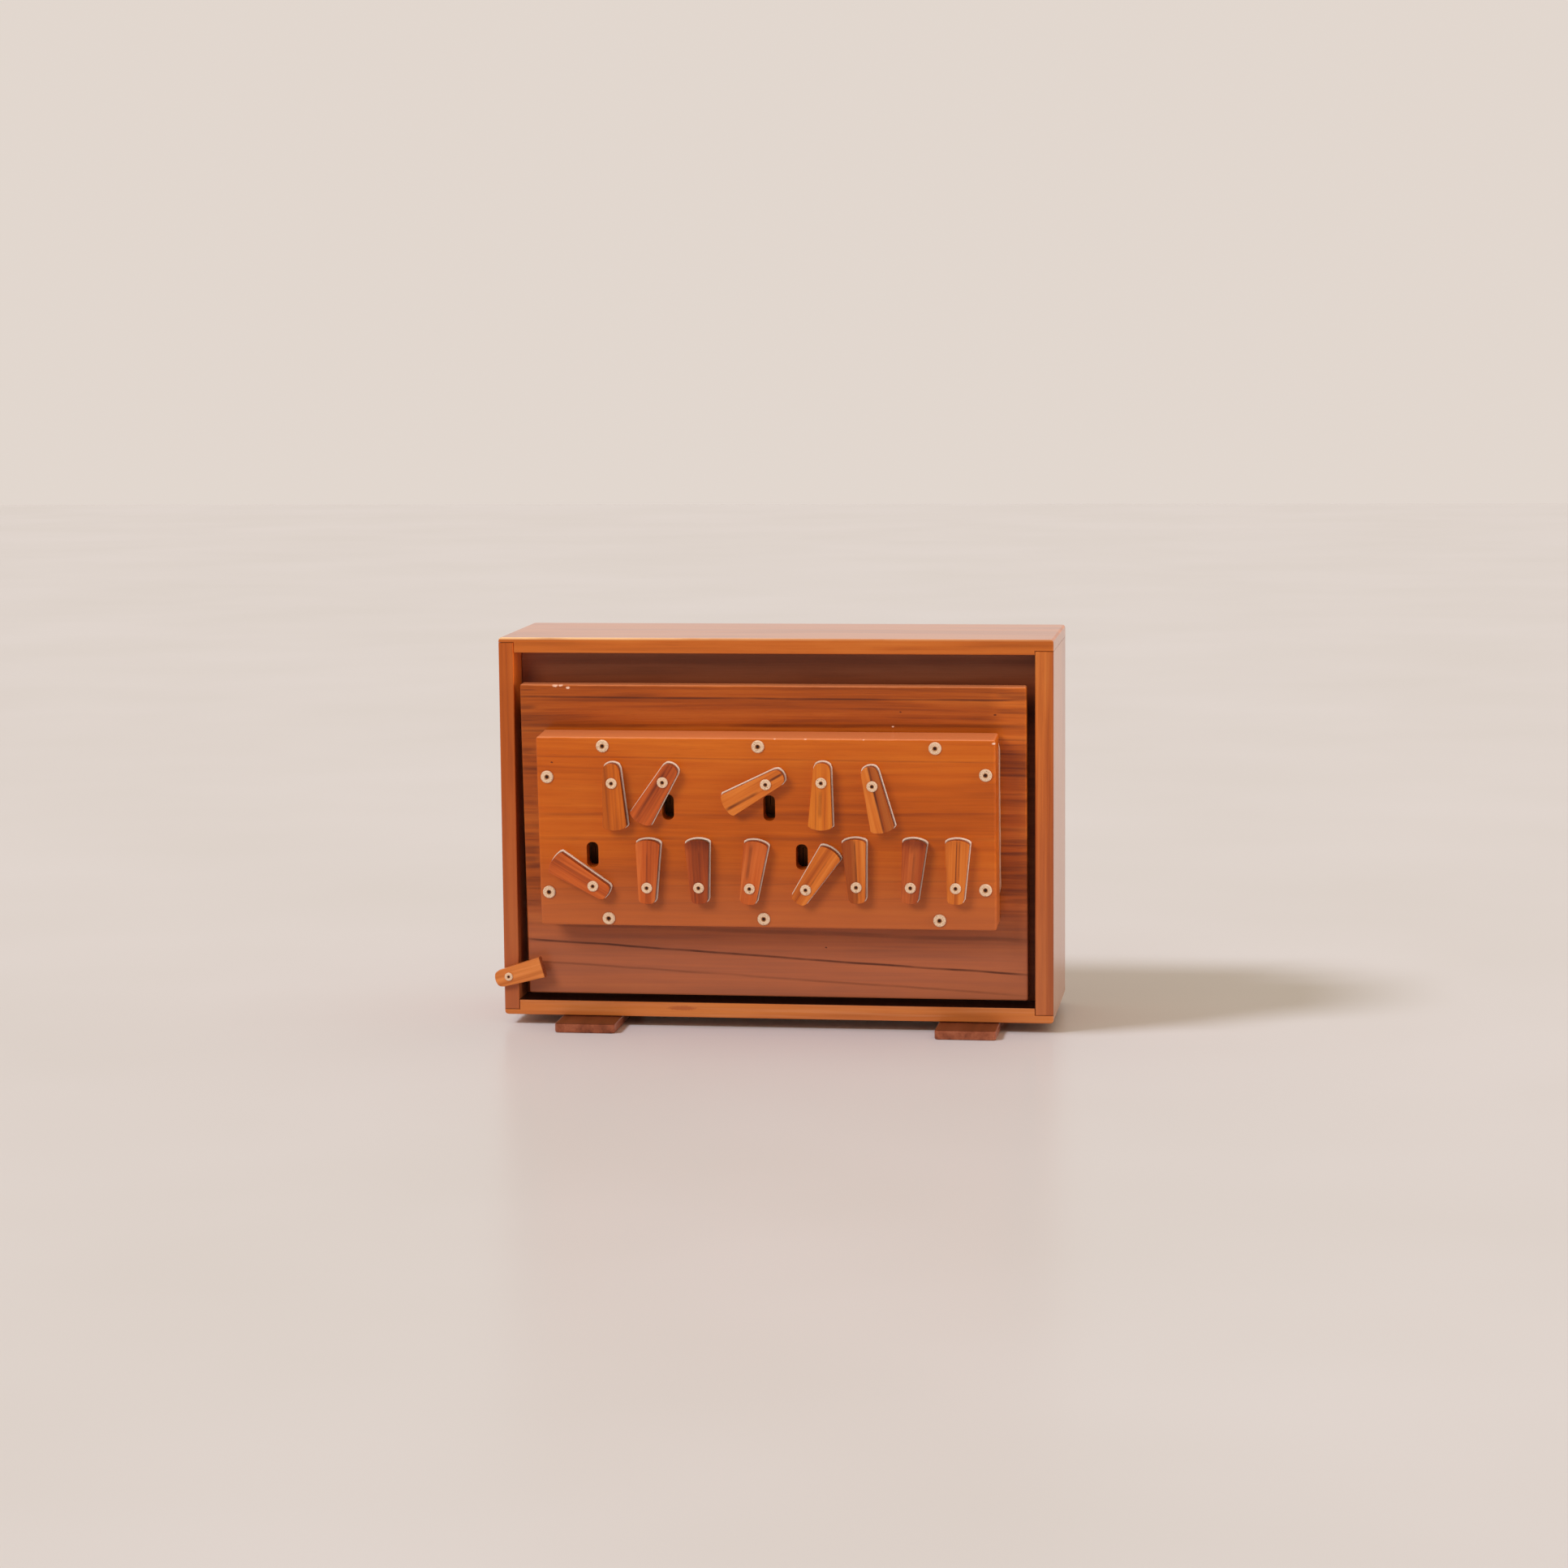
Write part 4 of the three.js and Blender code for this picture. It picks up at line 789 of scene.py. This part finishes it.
def build_wire(name, node, route, radius, sides):
    """A bent wire as a tube along a list of points, with closed ends."""
    vertices = []
    normal = X_AXIS
    for index, point in enumerate(route):
        before = route[max(index - 1, 0)]
        after = route[min(index + 1, len(route) - 1)]
        course = (after - before).normalized()
        normal = (normal - course * normal.dot(course)).normalized()
        other = course.cross(normal)
        for side in range(sides):
            angle = 2 * math.pi * side / sides
            vertices.append(point + normal * radius * math.cos(angle) + other * radius * math.sin(angle))
    faces = bands(len(route), sides)
    faces.append(list(range(sides))[::-1])
    faces.append(list(range((len(route) - 1) * sides, len(route) * sides)))
    piece = new_piece(name, vertices, faces, steel, None)
    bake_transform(piece)
    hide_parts(node)


# The boards

panel_low, panel_high = reach("reservoir_board", BOARD_UP)
panel_left, panel_right = reach("reservoir_board", X_AXIS)
panel_front = reach("reservoir_board", BOARD_OUT)[1]
chest_low, chest_high = reach("tone_chest", BOARD_UP)
chest_left, chest_right = reach("tone_chest", X_AXIS)
chest_front = reach("tone_chest", BOARD_OUT)[1]

# Marks on the board and the chest: along from the left end and down from the top edge, size and tone.
CHIP = linear(250, 214, 192)
KNOT = linear(84, 34, 16)
PANEL_SPECKS = [
    (23.4, 0.4, 2.2, CHIP),
    (31.8, 2.0, 1.6, CHIP),
    (27.0, 0.3, 1.6, CHIP),
    (242.6, 26.0, 0.9, CHIP),
    (247.5, 16.5, 0.9, KNOT),
    (308.0, 18.0, 1.1, KNOT),
    (197.0, 172.0, 0.9, KNOT),
]
CHEST_SPECKS = [
    (154.6, 0.3, 0.8, CHIP),
    (174.3, 0.3, 1.0, CHIP),
    (211.5, 0.4, 0.7, CHIP),
    (294.0, 2.2, 1.3, CHIP),
    (10.0, 16.5, 1.0, KNOT),
]
# Their grain lines: up from the foot at the left and at the right, half width, strength, waviness.
PANEL_LINE = linear(70, 28, 12)
PANEL_LINES = [
    (36.5, 17.0, 1.1, 0.85, 1.6),
    (197.3, 197.0, 0.9, 0.75, 1.0),
    (179.0, 180.5, 1.6, 0.45, 1.4),
    (175.5, 171.5, 1.1, 0.4, 1.4),
    (47.0, 40.0, 2.0, 0.35, 2.2),
    (22.0, 4.0, 1.1, 0.35, 1.6),
    (150.0, 149.0, 1.3, 0.5, 1.2),
    (112.0, 113.0, 1.8, 0.5, 1.0),
    (98.0, 97.0, 1.0, 0.45, 1.0),
    (86.0, 87.0, 2.2, 0.4, 1.0),
    (70.0, 70.5, 1.0, 0.45, 1.0),
]
CHEST_LINE = linear(128, 54, 20)
CHEST_LINES = [
    (73.0, 75.5, 1.4, 0.35, 1.2),
    (24.0, 33.0, 0.9, 0.3, 1.6),
    (13.0, 22.0, 0.8, 0.35, 1.4),
    (111.0, 109.0, 0.8, 0.35, 1.0),
    (57.0, 60.0, 1.8, 0.3, 2.0),
]


def painted_top_highlight(g, colour, run, side, top):
    """A painted highlight: the paler upper face of a board, with a ragged lower limit."""
    limit = g.scaled(g.blotches(run, side, 60.0, 0.0, 2.7, 4.0, 0.6), -0.9 * MM, top - 0.1 * MM)
    share = g.spread(g.minus(side, limit), -0.25 * MM, 0.2 * MM, 0.0, 0.55)
    return g.mix(share, colour, linear(240, 152, 104))


def panel_marks(g, colour, run, side):
    """The reservoir board: long dark lines, streaked ends and chips on its top edge. A paler, pinker
    foot is painted as the floor's reflection and as light in the chest's shadow, and its top face gets a
    painted highlight.
    """
    # painted reflection of the floor and painted light in the chest's shadow: a paler, pinker foot
    foot = g.spread(side, panel_low + 20 * MM, panel_low + 80 * MM, 0.58, 0.0)
    colour = g.mix(foot, colour, linear(196, 118, 86))
    colour = grain_lines(
        g, colour, run, side, PANEL_LINES, PANEL_LINE, panel_left, panel_right, panel_low, (0.0, 2.3)
    )
    ends = g.math(
        "ADD",
        g.spread(run, panel_left + 5 * MM, panel_left + 13 * MM, 1.0, 0.0),
        g.spread(run, panel_right - 22 * MM, panel_right - 14 * MM),
    )
    high = g.spread(side, panel_low + 45 * MM, panel_low + 70 * MM)
    streaks = g.spread(g.blotches(run, side, 9.0, 260.0, 3.1, 3.0, 0.6), 0.5, 0.66, 0.0, 0.5)
    colour = g.mix(g.times(streaks, g.times(ends, high)), colour, linear(84, 32, 14))
    lift = g.times(g.spread(run, panel_right - 26 * MM, panel_right - 12 * MM), high)
    colour = tint(g, colour, lift, (1.3, 1.35, 1.5))
    colour = front_specks(g, colour, run, side, PANEL_SPECKS, panel_left, panel_high, panel_front)
    return painted_top_highlight(g, colour, run, side, panel_high)


def chest_marks(g, colour, run, side):
    """The chest: soft brown lines and chips on its top edge, a browner, pinker foot painted as the
    floor's reflection, and a painted highlight on its top face.
    """
    colour = grain_lines(
        g, colour, run, side, CHEST_LINES, CHEST_LINE, chest_left, chest_right, chest_low, (1.7, 3.1)
    )
    # painted reflection of the floor: a browner, pinker foot
    foot = g.spread(side, chest_low + 2 * MM, chest_low + 54 * MM, 0.6, 0.0)
    colour = g.mix(foot, colour, linear(184, 102, 60))
    colour = front_specks(g, colour, run, side, CHEST_SPECKS, chest_left, chest_high, chest_front)
    return painted_top_highlight(g, colour, run, side, chest_high)


case_low, case_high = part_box("case_bottom_board")[0].z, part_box("case_top_board")[1].z
case_left, case_right = reach("case_top_board", X_AXIS)
case_front = reach("case_top_board", FRONT)[1]
stile_inner = reach("case_right_board", X_AXIS)[0]
left_inner = reach("case_left_board", X_AXIS)[1]
rail_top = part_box("case_bottom_board")[1].z
foot_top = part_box("foot_left")[1].z


def painted_side_glare(g, colour, across):
    """A painted reflection that makes the case's right side paler than the front, most of all high up."""
    height = g.spread(g.along(Z_AXIS), case_low, case_high)
    tone = g.mix(height, linear(124, 104, 90), linear(150, 136, 128))
    return g.mix(g.spread(across, case_right - 0.3 * MM, case_right - 0.1 * MM, 0.0, 0.55), colour, tone)


def top_marks(g, colour, run, side):
    """Painted light: a pale line where the top board's front edge catches the light, strongest at the
    left, and a painted reflection that pales its upper face.
    """
    near = g.spread(g.along(FRONT), case_front - 1.6 * MM, case_front - 0.6 * MM)
    line = g.times(near, g.spread(side, case_high - 1.7 * MM, case_high - 0.7 * MM))
    patchy = g.spread(g.blotches(run, side, 22.0, 0.0, 8.8, 3.0), 0.3, 0.55, 0.5, 1.0)
    fading = g.spread(run, case_left + 40 * MM, case_left + 230 * MM, 0.9, 0.25)
    share = g.times(line, g.times(fading, patchy))
    # painted reflection: the upper face is paled
    upper = g.spread(side, case_high - 0.3 * MM, case_high - 0.1 * MM, 0.0, 0.22)
    colour = g.mix(upper, colour, linear(206, 200, 196))
    colour = g.mix(share, colour, linear(255, 206, 150))
    return painted_side_glare(g, colour, run)


def bottom_marks(g, colour, run, side):
    """A paler, pinker bottom rail with soft light streaks, and painted shade on its upper face, under
    the reservoir board.
    """
    streaks = g.blotches(run, side, 14.0, 420.0, 6.6, 2.0)
    colour = g.mix(g.spread(streaks, 0.45, 0.75, 0.18, 0.5), colour, linear(222, 148, 98))
    scratch = (case_left + 118 * MM, rail_top - 4 * MM)
    colour = speck(g, colour, run, side, scratch, (11 * MM, 1.8 * MM), linear(156, 66, 34), 0.5)
    # painted shade: the upper face under the reservoir board is darkened
    upper = g.spread(side, rail_top - 0.5 * MM, rail_top - 0.15 * MM)
    colour = g.mix(upper, colour, linear(34, 14, 8))
    return painted_side_glare(g, colour, run)


def stile_marks(g, colour, run, side):
    """A stile that turns browner and paler towards its foot."""
    foot = g.spread(run, case_low, case_low + 210 * MM, 1.0, 0.0)
    return g.mix(g.times(foot, 0.45), colour, linear(178, 104, 72))


def left_marks(g, colour, run, side):
    """The left stile, and the lit upper end of its inner face."""
    colour = stile_marks(g, colour, run, side)
    inner = g.spread(side, left_inner - 0.5 * MM, left_inner - 0.1 * MM)
    high = g.spread(run, case_high - 62 * MM, case_high - 30 * MM)
    return tint(g, colour, g.times(inner, high), (2.2, 2.0, 1.8))


def right_marks(g, colour, run, side):
    """The right stile: a darker outer margin, and painted shade that makes its inner face cool and dark."""
    colour = stile_marks(g, colour, run, side)
    margin = g.spread(side, case_right - 5.4 * MM, case_right - 4.2 * MM, 0.0, 0.45)
    edge = g.spread(side, case_right - 1.8 * MM, case_right - 0.5 * MM)
    front = g.spread(g.along(FRONT), case_front - 1.2 * MM, case_front - 0.4 * MM)
    colour = tint(g, colour, g.times(front, g.math("MAXIMUM", margin, edge)), (0.66, 0.52, 0.46))
    # painted shade: the inner face, in the gap beside the reservoir board, is darkened and cooled
    face = g.spread(side, stile_inner + 0.1 * MM, stile_inner + 0.6 * MM, 1.0, 0.0)
    inner = g.times(face, g.minus(1.0, front))
    colour = g.mix(g.times(inner, 0.75), colour, linear(104, 62, 62))
    return painted_side_glare(g, colour, side)


def inner_marks(g, colour, run, side):
    """The centre board, with painted light and shade where it shows through the gaps: greyer and paler
    above, darker and redder below, and paler again behind the reservoir board.
    """
    # painted light and shade on the board seen through the gaps
    share = g.spread(side, case_high - 48 * MM, case_high - 10 * MM)
    colour = tint(g, colour, g.minus(1.0, share), (0.44, 0.4, 0.38))
    behind = g.spread(side, case_high - 70 * MM, case_high - 50 * MM, 1.0, 0.0)
    colour = tint(g, colour, behind, (3.4, 4.2, 4.2))
    return tint(g, colour, share, (1.3, 2.2, 3.6))


def foot_marks(g, colour, run, side):
    """The feet: painted shade on the upper face, where the case shades it, behind the paler front."""
    # painted shade: the upper face is darkened under the case
    up = g.spread(g.along(Z_AXIS), foot_top - 0.5 * MM, foot_top - 0.1 * MM)
    return tint(g, colour, up, (0.4, 0.34, 0.34))


def dress(node, material):
    """Gives a carried-over CAD node its material."""
    materials = frame["nodes"][node].data.materials
    if len(materials) == 0:
        materials.append(material)
    for index in range(len(materials)):
        materials[index] = material


def dress_wood(node, name, tones, grain, across, seed, marks=None, **finish):
    """Gives a board a wood of its own."""
    dress(node, wood(name, tones, grain, across, seed, marks=marks, **finish))


lively = {"contrast": 1.3}
thin_coat = {"contrast": 0.8, "coat": 0.2, "gloss": 0.45}
dull = {"contrast": 1.2, "coat": 0.3, "gloss": 0.42}
dress_wood("case_top_board", "wood_case_top", RAIL_TONES, X_AXIS, Z_AXIS, 1.3, top_marks)
dress_wood("case_bottom_board", "wood_case_bottom", RAIL_TONES, X_AXIS, Z_AXIS, 5.1, bottom_marks)
dress_wood("case_left_board", "wood_case_left", LEFT_TONES, Z_AXIS, X_AXIS, 9.4, left_marks)
dress_wood("case_right_board", "wood_case_right", RIGHT_TONES, Z_AXIS, X_AXIS, 14.2, right_marks, **lively)
dress_wood("centre_board", "wood_centre", INNER_TONES, X_AXIS, Z_AXIS, 17.0, inner_marks, **thin_coat)
dress_wood("reservoir_board", "wood_panel", PANEL_TONES, X_AXIS, BOARD_UP, 21.5, panel_marks, **lively)
dress_wood("tone_chest", "wood_chest", CHEST_TONES, X_AXIS, BOARD_UP, 27.7, chest_marks, coat=0.4)
dress_wood("pump_board", "wood_pump", PANEL_TONES, X_AXIS, PUMP_UP, 33.1, contrast=1.2)
for foot in ("foot_left", "foot_right"):
    dress_wood(foot, "wood_" + foot, FOOT_TONES, FRONT, X_AXIS, 41.0 + len(foot), foot_marks, **dull)


REED_BOARD = 5 * MM  # the thickness of its wood


def reed_board_material():
    """The reed board's wood, and the brass of the plates and tongues that stand out of its face. The
    brass is darkened as painted shade, since it is seen only down the slots.
    """
    g = Graph("reed_board_wood_and_brass")
    back = reach("reed_board", BOARD_OUT)[0]
    metallic = g.spread(g.along(BOARD_OUT), back + REED_BOARD + 0.02 * MM, back + REED_BOARD + 0.1 * MM)
    grain = g.blotches(g.along(X_AXIS), g.along(BOARD_UP), 9.0, 220.0, 0.0, 4.0, 0.6)
    timber = g.ramp(grain, [(0.3, linear(120, 78, 46)), (0.7, linear(166, 118, 76))])
    # painted shade: the brass tone is dark
    colour = g.mix(metallic, timber, linear(112, 68, 38))
    rough = g.spread(metallic, 0.0, 1.0, 0.7, 0.5)
    g.shade({"Base Color": colour, "Metallic": metallic, "Roughness": rough})
    g.bump(grain, 0.15, 0.1 * MM)
    return g.material


steel = metal("steel", linear(120, 121, 124), linear(172, 174, 178), gloss=0.36, metallic=1.0)
dress("reed_board", reed_board_material())
dress("foot_screw_left", steel)
dress("foot_screw_right", steel)

# The small pieces

washer_materials = [
    metal("cream_washer", linear(140, 92, 62), linear(242, 208, 176), gloss=0.45, metallic=0.1, cell=1900.0),
    metal("screw_head_brass", linear(120, 66, 34), linear(186, 124, 76), gloss=0.4, metallic=0.3),
    # the recess is near black: painted shade in the screw's hollow
    metal("screw_recess_painted_shade", linear(40, 16, 10), linear(66, 30, 20), gloss=0.6, metallic=0.1),
]
chest_screws = ["chest_screw_%d" % number for number in range(1, 11)]
for screw in chest_screws + ["lever_screw_" + name for name in LEVERS]:
    build_washer(screw, "reservoir", BOARD_OUT, washer_materials)
build_washer("latch_screw", "case", FRONT, washer_materials)
build_washer("rear_latch_screw", "case", -FRONT, washer_materials)

worn = {"gloss": 0.5, "pebble": 1.3 * MM, "sheen": 0.06}
pale_leather = leather("pale_leather", linear(246, 212, 188), linear(255, 240, 226))
seal_leather = leather("seal_leather", linear(205, 150, 118), linear(228, 184, 154))
dark_leather = leather("dark_leather", linear(34, 19, 14), linear(66, 38, 28), **worn)
for name in LEVERS:
    build_lever(name, pale_leather)
build_button("front_button", "latch_button", "front_latch", "front_latch_turn", FRONT)
build_button("rear_button", "rear_latch_button", "rear_latch", "rear_latch_turn", -FRONT)


def seal_tuck(height):
    """The seal shows past the chest's right side only along the middle of its height."""
    away = max(chest_low + 20 * MM - height, height - (chest_high - 8 * MM), 0)
    return min(away / (2 * MM), 1) * 1.4 * MM


SEAL_RIPPLE, FLAP_RIPPLE = 0.2 * MM, 0.5 * MM
build_sheet(
    "chest_seal", "chest_gasket", "reservoir", BOARD_UP, BOARD_OUT, seal_leather, SEAL_RIPPLE, seal_tuck
)
build_sheet("delivery_flap", "delivery_valve_flap", "case", Z_AXIS, FRONT, pale_leather, FLAP_RIPPLE)
build_sheet("intake_flap", "intake_valve_flap", "pump", PUMP_UP, -PUMP_OUT, pale_leather, FLAP_RIPPLE)

# The two bellows. The pump's is dented where the rear button turns.
BUTTON_CLEARANCE = 1.6 * MM
centre_front, centre_back = (corner.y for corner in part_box("centre_board"))
rear_low, rear_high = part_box("rear_latch_button")
rear_pivot = Vector(JOINTS["rear_latch_turn"]["pos_m"])
button_sweep = rear_pivot.x - rear_low.x + BUTTON_CLEARANCE


def under_button(point):
    """The leather lies below the way of the rear button's arm."""
    across = point.x - rear_pivot.x
    if not rear_low.y - BUTTON_CLEARANCE < point.y < rear_high.y + BUTTON_CLEARANCE:
        return point
    if not -button_sweep < across < RING_STEP:
        return point
    limit = rear_pivot.z - math.sqrt(button_sweep**2 - min(across, 0) ** 2)
    return Vector((point.x, point.y, min(point.z, limit)))


reservoir_line = build_bellows(
    "reservoir_folds", "reservoir_bellows", "reservoir_board", BOARD_UP, centre_front,
    BOARD_OUT, inset=12 * MM, folds=2, depth=6 * MM,
)
feeder_line = build_bellows(
    "feeder_folds", "feeder_bellows", "pump_board", PUMP_UP, centre_back,
    PUMP_OUT, inset=5 * MM, folds=4, depth=12 * MM, dent=under_button,
)

# The springs.
COIL_TURNS = 5
COIL_STEPS = 16  # in a turn
COIL_WIRE = 0.7 * MM
coil_low, coil_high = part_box("reservoir_spring")
coil_middle = (coil_low + coil_high) / 2
coil_radius = (coil_high.x - coil_low.x) / 2 - COIL_WIRE
coil_points = []
for step in range(COIL_TURNS * COIL_STEPS + 1):
    angle = 2 * math.pi * step / COIL_STEPS
    share = step / (COIL_TURNS * COIL_STEPS)
    depth = coil_high.y - COIL_WIRE + (coil_low.y - coil_high.y + 2 * COIL_WIRE) * share
    turned = Vector((coil_radius * math.cos(angle), 0, coil_radius * math.sin(angle)))
    coil_points.append(Vector((coil_middle.x, depth, coil_middle.z)) + turned)
build_wire(
    "reservoir_coil", "reservoir_spring", coil_points, COIL_WIRE, sides=8
)

VEE_WIRE = 1.5 * MM


def centre_line(node, bins):
    """The middle of a bent flat wire: the mean of its corners, in order along the wire."""
    unique = np.unique(np.round(points_of(node), 6), axis=0)
    apex = unique[unique[:, 2].argmin()]
    legs = []
    for sign in (-1, 1):
        leg = unique[(unique[:, 1] - apex[1]) * sign >= -VEE_WIRE]
        edges = np.linspace(leg[:, 2].min(), leg[:, 2].max(), bins + 1)
        points = []
        for low, high in zip(edges, edges[1:]):
            inside = leg[(leg[:, 2] >= low) & (leg[:, 2] <= high)]
            if len(inside):
                points.append(Vector(inside.mean(axis=0)))
        legs.append(points)
    return legs[0][::-1] + legs[1][1:]


vee_points = centre_line("feeder_spring", bins=10)
build_wire("feeder_vee", "feeder_spring", vee_points, VEE_WIRE, sides=10)

# The stage

FLOOR_HALF = 6.0
floor_graph = Graph("pale_floor")
floor_cloud = floor_graph.noise(floor_graph.add("ShaderNodeTexCoord").outputs["Object"], 3.0)
floor_colour = floor_graph.ramp(floor_cloud, [(0.3, linear(224, 212, 194)), (0.7, linear(228, 216, 199))])
floor_graph.shade({"Base Color": floor_colour, "Roughness": 0.26, "IOR": 1.11})
floor_corners = [(x * FLOOR_HALF, y * FLOOR_HALF, 0) for x, y in ((-1, -1), (1, -1), (1, 1), (-1, 1))]
floor = new_piece("floor", floor_corners, [[0, 1, 2, 3]], floor_graph.material, None, smooth=False)

# A pale room: brightest behind the object, dimmer in front of it.
ROOM_BEHIND = (0.76, 0.68, 0.62, 1)
ROOM_IN_FRONT = (0.34, 0.32, 0.30, 1)
ROOM_ABOVE = (0.62, 0.58, 0.54, 1)
world = bpy.data.worlds.new("soft_room")
bpy.context.scene.world = world
world.use_nodes = True
sky = Nodes(world.node_tree)
view = sky.add("ShaderNodeTexCoord").outputs["Generated"]
split = sky.add("ShaderNodeSeparateXYZ", {0: view}).outputs
around = sky.mix(sky.spread(split["Y"], -0.4, 0.4), ROOM_IN_FRONT, ROOM_BEHIND)
room = sky.mix(sky.spread(split["Z"], 0.3, 0.8), around, ROOM_ABOVE)
background = world.node_tree.nodes["Background"].inputs
sky.put(background["Color"], room)
sky.put(background["Strength"], 1.0)


def aim(holder, direction):
    """Turns a light to shine in a direction."""
    holder.rotation_euler = direction.to_track_quat("-Z", "Y").to_euler()


def soft_light(name, place, size, power, colour):
    """A rectangle of light that shines on the middle of the object and isn't mirrored in it."""
    light = bpy.data.lights.new(name, "AREA")
    light.shape = "RECTANGLE"
    light.size, light.size_y = size
    light.energy = power
    light.color = colour
    holder = in_scene(name, light)
    holder.location = place
    aim(holder, LIT_MIDDLE - Vector(place))
    holder.visible_glossy = False
    return holder


def sun_light(name, direction, width, power, colour):
    """A distant light, as wide as its angle in degrees."""
    light = bpy.data.lights.new(name, "SUN")
    light.energy = power
    light.angle = math.radians(width)
    light.color = colour
    holder = in_scene(name, light)
    aim(holder, Vector(direction))
    return holder


LIT_MIDDLE = Vector((0, 0, 0.12))
key = soft_light("key", (-0.95, -1.85, 1.15), size=(0.8, 0.7), power=21, colour=(1.0, 0.94, 0.85))
fill = soft_light("right_fill", (1.9, -0.25, 0.45), size=(0.9, 0.9), power=18, colour=(1.0, 0.95, 0.9))
overhead = sun_light("overhead", (0.1, -0.2, -1), width=70, power=1.12, colour=(1.0, 0.97, 0.93))
floor_sun = sun_light("floor_sun", (0.5, 0.27, -0.62), width=14, power=2.4, colour=(0.66, 0.74, 1.0))
# One sun lights only the floor, and the other lights only the object.
off_the_floor = bpy.data.collections.new("off_the_floor")
off_the_floor.objects.link(floor)
for light in (key, fill, overhead):
    light.light_linking.receiver_collection = off_the_floor
off_the_floor.collection_objects[0].light_linking.link_state = "EXCLUDE"
on_the_floor = bpy.data.collections.new("on_the_floor")
on_the_floor.objects.link(floor)
floor_sun.light_linking.receiver_collection = on_the_floor

camera_data = bpy.data.cameras.new("camera")
camera_data.sensor_width = SENSOR
camera_data.lens = FOCAL_PIXELS / IMAGE_SIZE * SENSOR
camera = in_scene("camera", camera_data)
flat = math.cos(CAMERA_PITCH)
forward = Vector((math.sin(CAMERA_YAW) * flat, math.cos(CAMERA_YAW) * flat, -math.sin(CAMERA_PITCH)))
level = Vector((math.cos(CAMERA_YAW), -math.sin(CAMERA_YAW), 0))
down = forward.cross(level)
right = level * math.cos(CAMERA_ROLL) + down * math.sin(CAMERA_ROLL)
below = down * math.cos(CAMERA_ROLL) - level * math.sin(CAMERA_ROLL)
camera.matrix_world = Matrix.Translation(CAMERA_PLACE) @ Matrix(
    ((right.x, -below.x, -forward.x), (right.y, -below.y, -forward.y), (right.z, -below.z, -forward.z))
).to_4x4()
bpy.context.scene.camera = camera
bpy.context.scene.view_settings.view_transform = "Standard"

bpy.context.view_layer.update()
